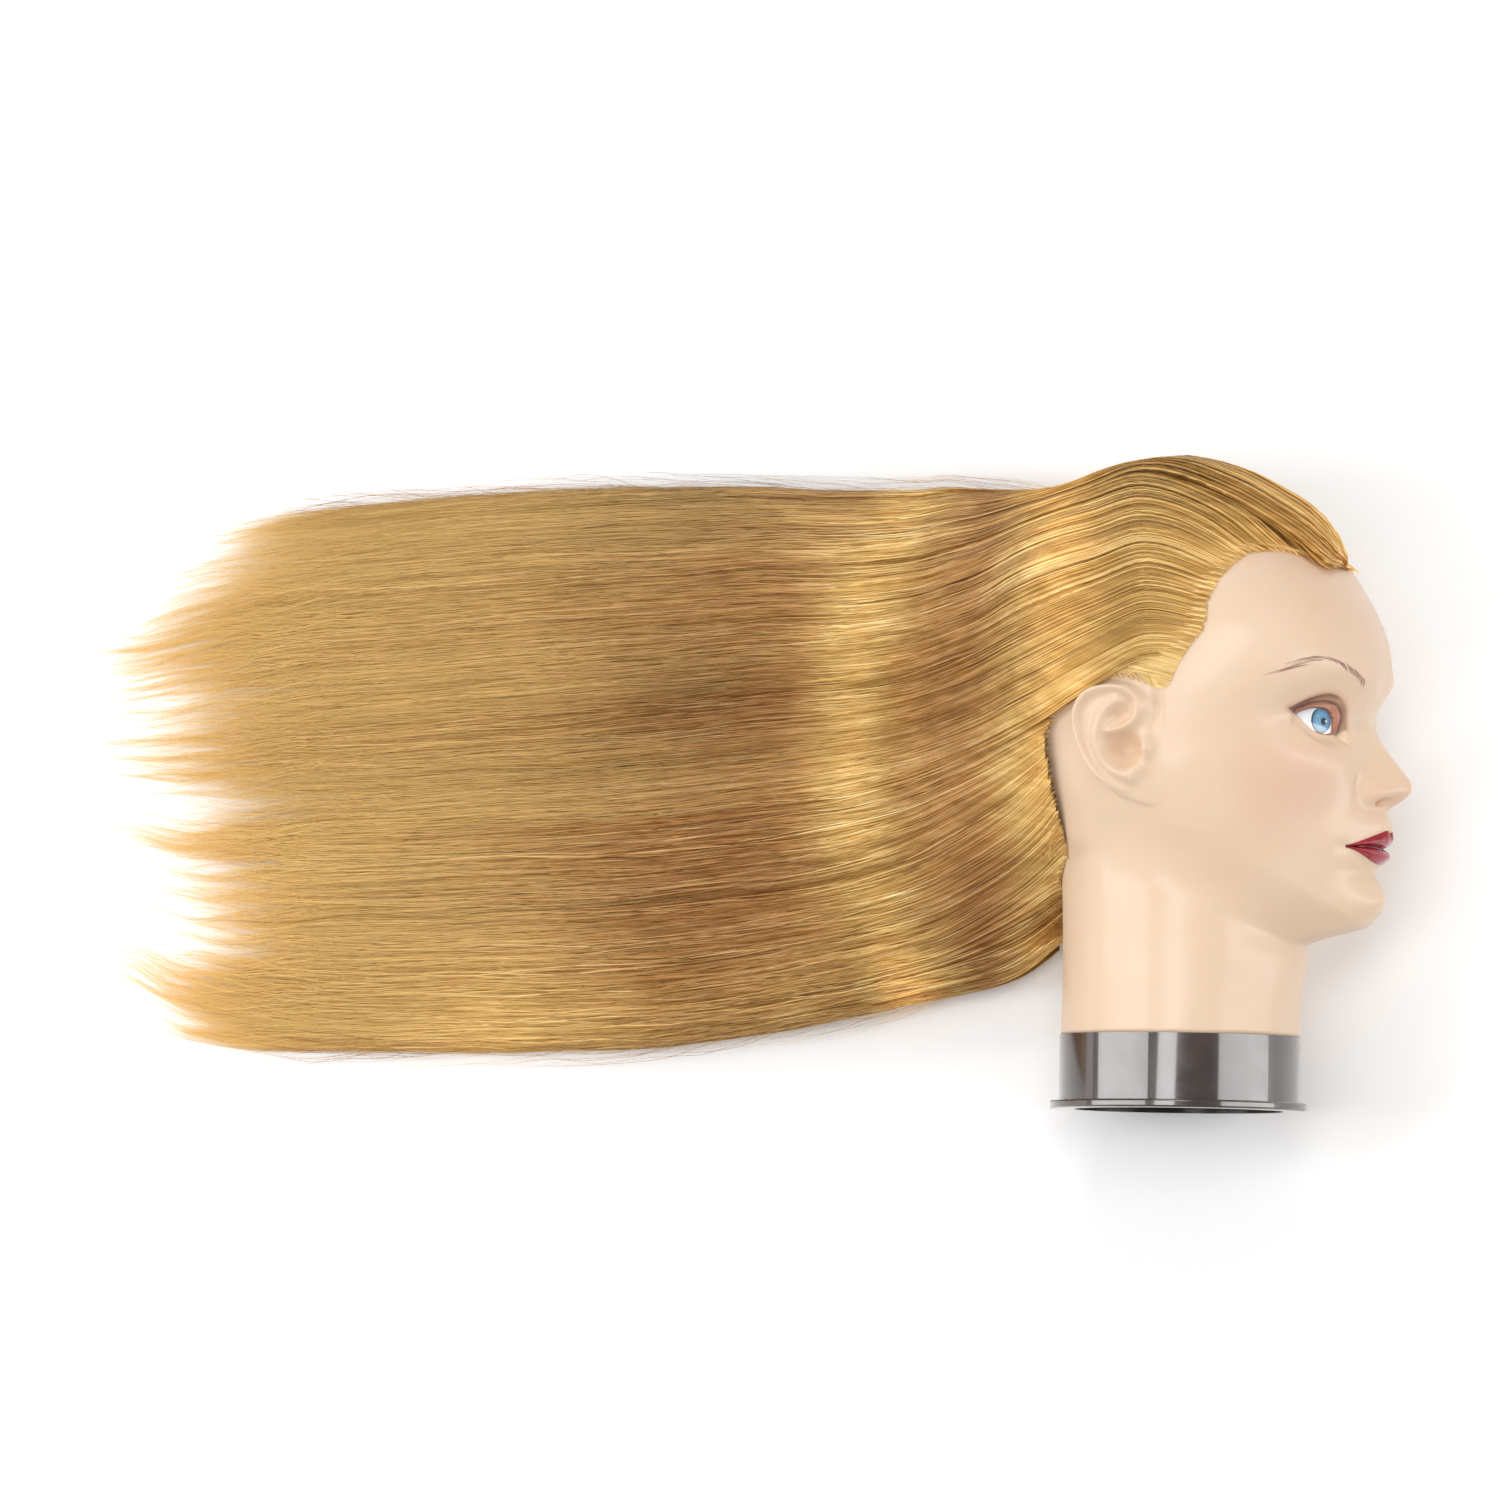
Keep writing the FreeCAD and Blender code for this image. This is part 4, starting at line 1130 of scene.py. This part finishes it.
def strands():
    """All the hair as ribbons, one object for each section."""
    count = STRANDS
    level, under, layer, shade, phase, tip, lock_level, turn = hair_strands(count, LOCKS)
    root, behind_neck = strand_roots(level, under)
    # Half of the strands start at the hairline, and the others up to 75 mm behind it.
    at_edge = RANDOM.random(count) < 0.5
    back = np.where(at_edge, RANDOM.random(count) * 2.6 - 1.6, RANDOM.random(count) ** 1.5 * 75)
    layer = np.where(back > 3, layer * (1 - 0.4 * smooth(back / 60)), layer)
    root = np.where(behind_neck > 0, root, np.maximum(root - back, np.minimum(root, -108)))
    x = step_positions(root, tip, STRAND_STEPS)
    # The strands wander more and more past the head, and gather in locks at their ends.
    ends = smooth((-330 - x) / 150)
    free = smooth((-20 - x) / 140)
    moved = level[:, None] + (lock_level - level)[:, None] * (0.4 * ends + 0.45 * ends ** 4)
    moved = moved + 0.005 * wave(x, 230, phase[0]) * free + 0.0026 * wave(x, 83, phase[1]) * free
    moved = moved + (turn[:, None] * ends ** 2 + 1.8 * wave(x, 47, phase[1]) * ends ** 2) / 260
    moved = np.clip(moved, 0.0005, 0.9995)
    depth = layer[:, None] + 0.35 * wave(x, 61, phase[0]) * free
    place, outward = strand_points(x, moved, under[:, None], depth, root[:, None] - x, behind_neck[:, None])
    middle = np.argmin(np.abs(x + 200), axis=1)
    section = section_of(place[np.arange(count), middle])
    roll = RANDOM.normal(0, 0.55, count)
    width = THINNEST + (THICKEST - THINNEST) * RANDOM.random(count)
    material = hair_material("blond_strands")
    for name in sorted(set(section)):
        chosen = np.flatnonzero(section == name)
        for part, members in enumerate(np.array_split(chosen, math.ceil(len(chosen) / MOST_STRANDS))):
            points, faces, values = strand_mesh(place[members], outward[members], roll[members],
                                                width[members], shade[members], 0.03, 0.25)
            piece_name = "strands_" + name + ("", "_second", "_third")[part]
            make_piece(piece_name, points, faces, material, values, ["hair_" + name])


def stray_hairs():
    """Single fine hairs that stand off the mass, mostly along its edges and its ends."""
    count = STRAYS
    edge = RANDOM.random(count) < 0.55
    near = np.abs(RANDOM.normal(0, 0.012, count))
    level = np.where(edge, np.where(RANDOM.random(count) < 0.5, near, 1 - near), RANDOM.random(count))
    start = -20 - 380 * RANDOM.random(count)
    start = np.where(level > 0.42, np.minimum(start, -105), start)
    length = 50 + 130 * RANDOM.random(count)
    tip = np.maximum(start - length, curve(LOCK_REACH, level) - 6 + 12 * RANDOM.random(count))
    start = np.maximum(start, tip + 40)
    x = step_positions(start, tip, STRAY_STEPS)
    share = np.linspace(0, 1, STRAY_STEPS)[None, :]
    phase = RANDOM.random((2, count)) * 2 * math.pi
    # Each stands off the mass along its length, and drifts sideways.
    off = (1.2 + 3.2 * RANDOM.random(count))[:, None] * np.sin(share * math.pi * 0.8) + 0.3
    drift = RANDOM.normal(0, 0.022, count)[:, None] * share ** 1.5
    moved = np.clip(level[:, None] + drift + 0.004 * wave(x, 70, phase[0]), 0.0, 1.0)
    behind_neck = np.where(level > 0.9, 1.0, 0.0)[:, None]
    place, outward = strand_points(x, moved, False, HAIR_DEPTH, 150.0, behind_neck)
    place = place + outward * off[..., None]
    sideways = np.where(level < 0.5, 1.0, -1.0) * edge
    place[..., 1] += sideways[:, None] * off * 0.9
    place[..., 2] = np.maximum(place[..., 2], STRAY_CLEAR)
    points, faces, values = strand_mesh(place, outward, RANDOM.normal(0, 0.5, count), np.full(count, 0.2),
                                        RANDOM.normal(0.35, 0.15, count), 0.1, 0.6)
    make_piece("stray_hairs", points, faces, hair_material("stray_fibre"), values)


def scalp_point(x, y, half, lift):
    """World place on the scalp over a head-frame x and y, on the right (1) or left (-1) half."""
    z = np.full(np.shape(x), 60.0)
    for _ in range(SCALP_PASSES):
        offset = np.stack([x, y - SKULL_CENTRE[1], z * half], axis=-1)
        reach = skull_distance(offset) + lift
        z = np.sqrt(np.clip(reach ** 2 - x ** 2 - (y - SKULL_CENTRE[1]) ** 2, 0.5, None))
    return to_world(np.stack([x, y, z * half], axis=-1))


def root_tufts():
    """The first fine hairs at the hairline, punched in small bundles."""
    line = np.array(rounded(HAIRLINE, 2))
    steps = steps_along(line)
    bundles = np.arange(1.5, steps[-1] - 1, TUFT_SPACING)
    temple = steps[(line[:, 1] < 212) & (line[:, 0] > 9)]
    bundles = np.concatenate([bundles, np.linspace(temple[0], temple[-1] + 8, TEMPLE_BUNDLES)])
    material = hair_material("root_fibre", 0.08)
    for half, side in HALVES:
        front = np.repeat(bundles, TUFT_HAIRS)
        at = front + RANDOM.normal(0, 0.35, len(front))
        x, y = [np.interp(at, steps, column) for column in line.T]
        ahead = unit(np.stack([np.interp(at + 3, steps, column) - np.interp(at - 3, steps, column)
                               for column in line.T], axis=-1))
        inward = np.stack([ahead[:, 1], -ahead[:, 0]], axis=-1)
        # A tuft leaves the hairline inward and turns back; behind the ear it also turns down.
        back = np.array([-1.0, 0.12])
        behind = smooth((-30 - x) / 15)[:, None]
        back = back + (np.array([-0.8, -0.6]) - back) * behind
        away = unit(0.75 * inward + 0.55 * back)
        length = 7 + 5 * RANDOM.random(len(front))
        length *= 1 + 3.4 * smooth((x + 4) / 8) * smooth((213 - y) / 8)
        share = np.linspace(0, 1, 7)[None, :]
        run = length[:, None] * share - 0.6
        turned = away[:, None, :] + (back[:, None, :] - away[:, None, :]) * (share * 0.7)[..., None]
        path_x = x[:, None] + turned[..., 0] * run
        path_y = y[:, None] + turned[..., 1] * run
        lift = 0.35 + 1.5 * np.sin(share * math.pi * 0.75) + 0 * path_x
        place = scalp_point(path_x, path_y, half, lift)
        place[..., 2] = np.maximum(place[..., 2], TUFT_CLEAR)
        outward = unit(place - to_world(SKULL_CENTRE))
        points, faces, values = strand_mesh(place, outward, RANDOM.normal(0, 0.3, len(front)),
                                            0.15 + 0.14 * RANDOM.random(len(front)),
                                            RANDOM.normal(0.6, 0.2, len(front)), 0.15, 0.5)
        values["along"] = values["along"] * 0.3
        rows = ["hairline_tufts_right", "hairline_tufts_front"] if half > 0 else ["hairline_tufts_left"]
        make_piece("root_tufts_" + side, points, faces, material, values, rows)


def hair_cap():
    """The roots' mat of short hair close on the scalp, under the strands."""
    polar, azimuth = np.meshgrid(np.radians(np.arange(3, 128, 1.5)), np.radians(np.arange(0, 360, 1.5)),
                                 indexing="ij")
    way = polar_way(polar, azimuth)
    points = SKULL_CENTRE + way * (skull_distance(way) + CAP_LIFT)[..., None]
    flat = points.reshape(-1, 3)
    covered = inside_outline(flat[:, 0], flat[:, 1], HAIR_AREA)
    covered &= distance_to_line(flat[:, 0], flat[:, 1], HAIRLINE) > CAP_MARGIN
    faces = grid_faces(*polar.shape, True)
    faces = faces[covered[faces].all(axis=1)]
    used = np.unique(faces)
    place = to_world(flat[used])
    place[:, 2] = np.maximum(place[:, 2], ROOT_CLEAR)
    # The mat carries the same painted light and shade as the strands.
    values = {"shade": np.full(len(used), 0.3), "along": np.full(len(used), 0.1), "painted_light": painted_hair_light(place)}
    faces = np.searchsorted(used, faces)
    make_piece("hair_cap", place, [faces], hair_material("cap_fibre"), values)


def hair_under_layer():
    """The thick of the hair below the outer strands, as one closed, grooved mass, its fibre colour set darker
    as painted shade under the strands.
    """
    turns = np.linspace(0, 2 * math.pi, UNDER_COLUMNS, endpoint=False)
    under = turns > math.pi
    across = 0.5 - 0.5 * np.cos(turns)
    groove = 0.6 * np.sin(turns * 37) + 0.5 * np.sin(turns * 61 + 1) + 0.7 * np.sin(turns * 23 + 2)
    rings = []
    for along in UNDER_RINGS:
        at = along - 14 * (groove - 1) * smooth((-300 - along) / 70)
        place, _ = strand_points(at, across, under, groove, 200.0, 0.0)
        centre = np.array([0, (place[:, 1].max() + place[:, 1].min()) / 2, place[:, 2].max() * 0.3])
        inward = (place - centre) * [0, 1, 1]
        into_head = 0.14 * smooth((along + 100) / 20)
        place = place - inward * (into_head + 0.6 * smooth((-300 - along) / 150))
        place[:, 2] = np.maximum(place[:, 2], ROOT_CLEAR)
        rings.append(place)
    grid = np.array(rings)
    rows, columns = grid.shape[:2]
    # Painted shade: a dark fibre shade, lowered again by the material; the painted light and shade along the
    # mass as on the strands.
    values = {"shade": np.full(rows * columns, 0.1), "along": np.repeat(np.linspace(0.1, 0.8, rows), columns),
              "painted_light": painted_hair_light(grid.reshape(-1, 3))}
    make_piece("hair_thick", grid.reshape(-1, 3), capped_faces(rows, columns),
               hair_material("blond_thick", -0.05), values)


def collar_material():
    """Dark brown glossy plastic with faint mould marks."""
    n = Nodes("dark_plastic")
    place = n.place()
    marks = n.noise(place, 45.0, 4.0)
    n.out("Base Color", n.tones(marks, srgb(46, 32, 28), srgb(62, 46, 40)))
    n.out("Roughness", n.levels(n.noise(place, 90.0, 3.0), (0.3, 0.16), (0.75, 0.3)))
    n.out("Coat Weight", 1.0)
    n.out("Coat Roughness", 0.07)
    n.out("Coat IOR", 1.6)
    n.bump(n.noise(place, 140.0, 2.0), 0.12, 0.0004)
    return n.material


def socket_material():
    """Black moulded plastic."""
    n = Nodes("black_plastic")
    grain = n.noise(n.place(), 160.0, 3.0)
    n.out("Base Color", n.tones(grain, srgb(30, 28, 28), srgb(44, 41, 40)))
    n.out("Roughness", n.levels(grain, (0.0, 0.38), (1.0, 0.5)))
    n.bump(grain, 0.1, 0.0003)
    return n.material


def glue_material():
    """Clear amber glue skin inside the scalp."""
    n = Nodes("glue_layer")
    film = n.noise(n.place(), 80.0, 3.0)
    n.out("Base Color", n.tones(film, srgb(196, 160, 110), srgb(214, 184, 136)))
    n.out("Roughness", 0.35)
    n.bump(film, 0.3, 0.0008)
    return n.material


def better_material(node, material):
    """Give a CAD node a better material in place of its plain one."""
    mesh = frame["nodes"][node].data
    mesh.materials.clear()
    mesh.materials.append(material)


better_material("base_collar", collar_material())
better_material("clamp_socket", socket_material())
better_material("root_backing", glue_material())
SKULL = skull_map()
head_skin()
lips()
eyes()
brows()
foam_core()
strands()
root_tufts()
hair_cap()
stray_hairs()
hair_under_layer()


# ---- stage, lights and camera --------------------------------------------------------------------
TABLE_HALF = 6000.0                # millimetres from the table's middle to its edges
CAMERA_DISTANCE = 6.0              # metres
CAMERA_ELEVATION = math.radians(79.9)
CAMERA_TWIST = math.radians(0.9)
SENSOR_WIDTH = 36.0
FRAME_WIDTH = 0.70875              # metres across the picture at the object


def neck_point(x, y, z=0.0):
    """World metres of a place given from the neck's axis and the table, in millimetres."""
    return Vector((BASE_CENTRE[0] + x, BASE_CENTRE[1] + y, z)) / 1000


def stage():
    """A plain white table top."""
    n = Nodes("white_table")
    n.out("Base Color", n.levels(n.noise(n.place(), 3.0), (0.0, 0.94), (1.0, 0.96)))
    n.out("Roughness", 0.6)
    n.out("Emission Color", (1.0, 1.0, 1.0))
    n.out("Emission Strength", 0.1)
    corners = np.array([(-1, -1, 0), (1, -1, 0), (1, 1, 0), (-1, 1, 0)]) * TABLE_HALF
    make_object("table", corners, [np.array([[0, 1, 2, 3]])], n.material, smooth_faces=False)


def soft_light(name, target, lean, distance, size, energy, back=-0.12):
    """A soft box over the table, leaning from the vertical towards +X by lean degrees, and back to +Y."""
    light = bpy.data.lights.new(name, "AREA")
    light.shape = "RECTANGLE"
    light.size = size[0]
    light.size_y = size[1]
    light.energy = energy
    lamp = bpy.data.objects.new(name, light)
    angle = math.radians(lean)
    offset = Vector((math.sin(angle), back, math.cos(angle))) * distance
    lamp.location = target + offset
    lamp.rotation_euler = (-offset).to_track_quat("-Z", "Y").to_euler()
    bpy.context.scene.collection.objects.link(lamp)


def lights():
    """Three soft boxes across the object and a bright room."""
    aim = neck_point(-80, 160, 60)
    soft_light("soft_left", aim, -58, 1.6, (0.4, 1.6), 11)
    soft_light("soft_top", aim, -8, 1.7, (0.35, 1.4), 10)
    soft_light("soft_right", aim, 64, 1.5, (0.3, 1.5), 7)
    soft_light("soft_back", aim, -10, 1.5, (0.8, 0.5), 9, 0.9)
    world = bpy.data.worlds.new("studio")
    world.use_nodes = True
    world.node_tree.nodes["Background"].inputs["Color"].default_value = (1, 1, 1, 1)
    world.node_tree.nodes["Background"].inputs["Strength"].default_value = 0.4
    bpy.context.scene.world = world
    bpy.context.scene.view_settings.view_transform = "Standard"


def camera():
    """The camera over the table, at the photograph's angle."""
    data = bpy.data.cameras.new("camera")
    data.sensor_width = SENSOR_WIDTH
    aim = neck_point(-205, 166, 80)
    data.lens = SENSOR_WIDTH * CAMERA_DISTANCE / FRAME_WIDTH
    eye = bpy.data.objects.new("camera", data)
    offset = Vector((0, -math.cos(CAMERA_ELEVATION), math.sin(CAMERA_ELEVATION))) * CAMERA_DISTANCE
    eye.location = aim + offset
    turn = (-offset).to_track_quat("-Z", "Y")
    eye.rotation_euler = turn.to_euler()
    eye.rotation_euler.rotate_axis("Z", CAMERA_TWIST)
    bpy.context.scene.collection.objects.link(eye)
    bpy.context.scene.camera = eye


stage()
lights()
camera()
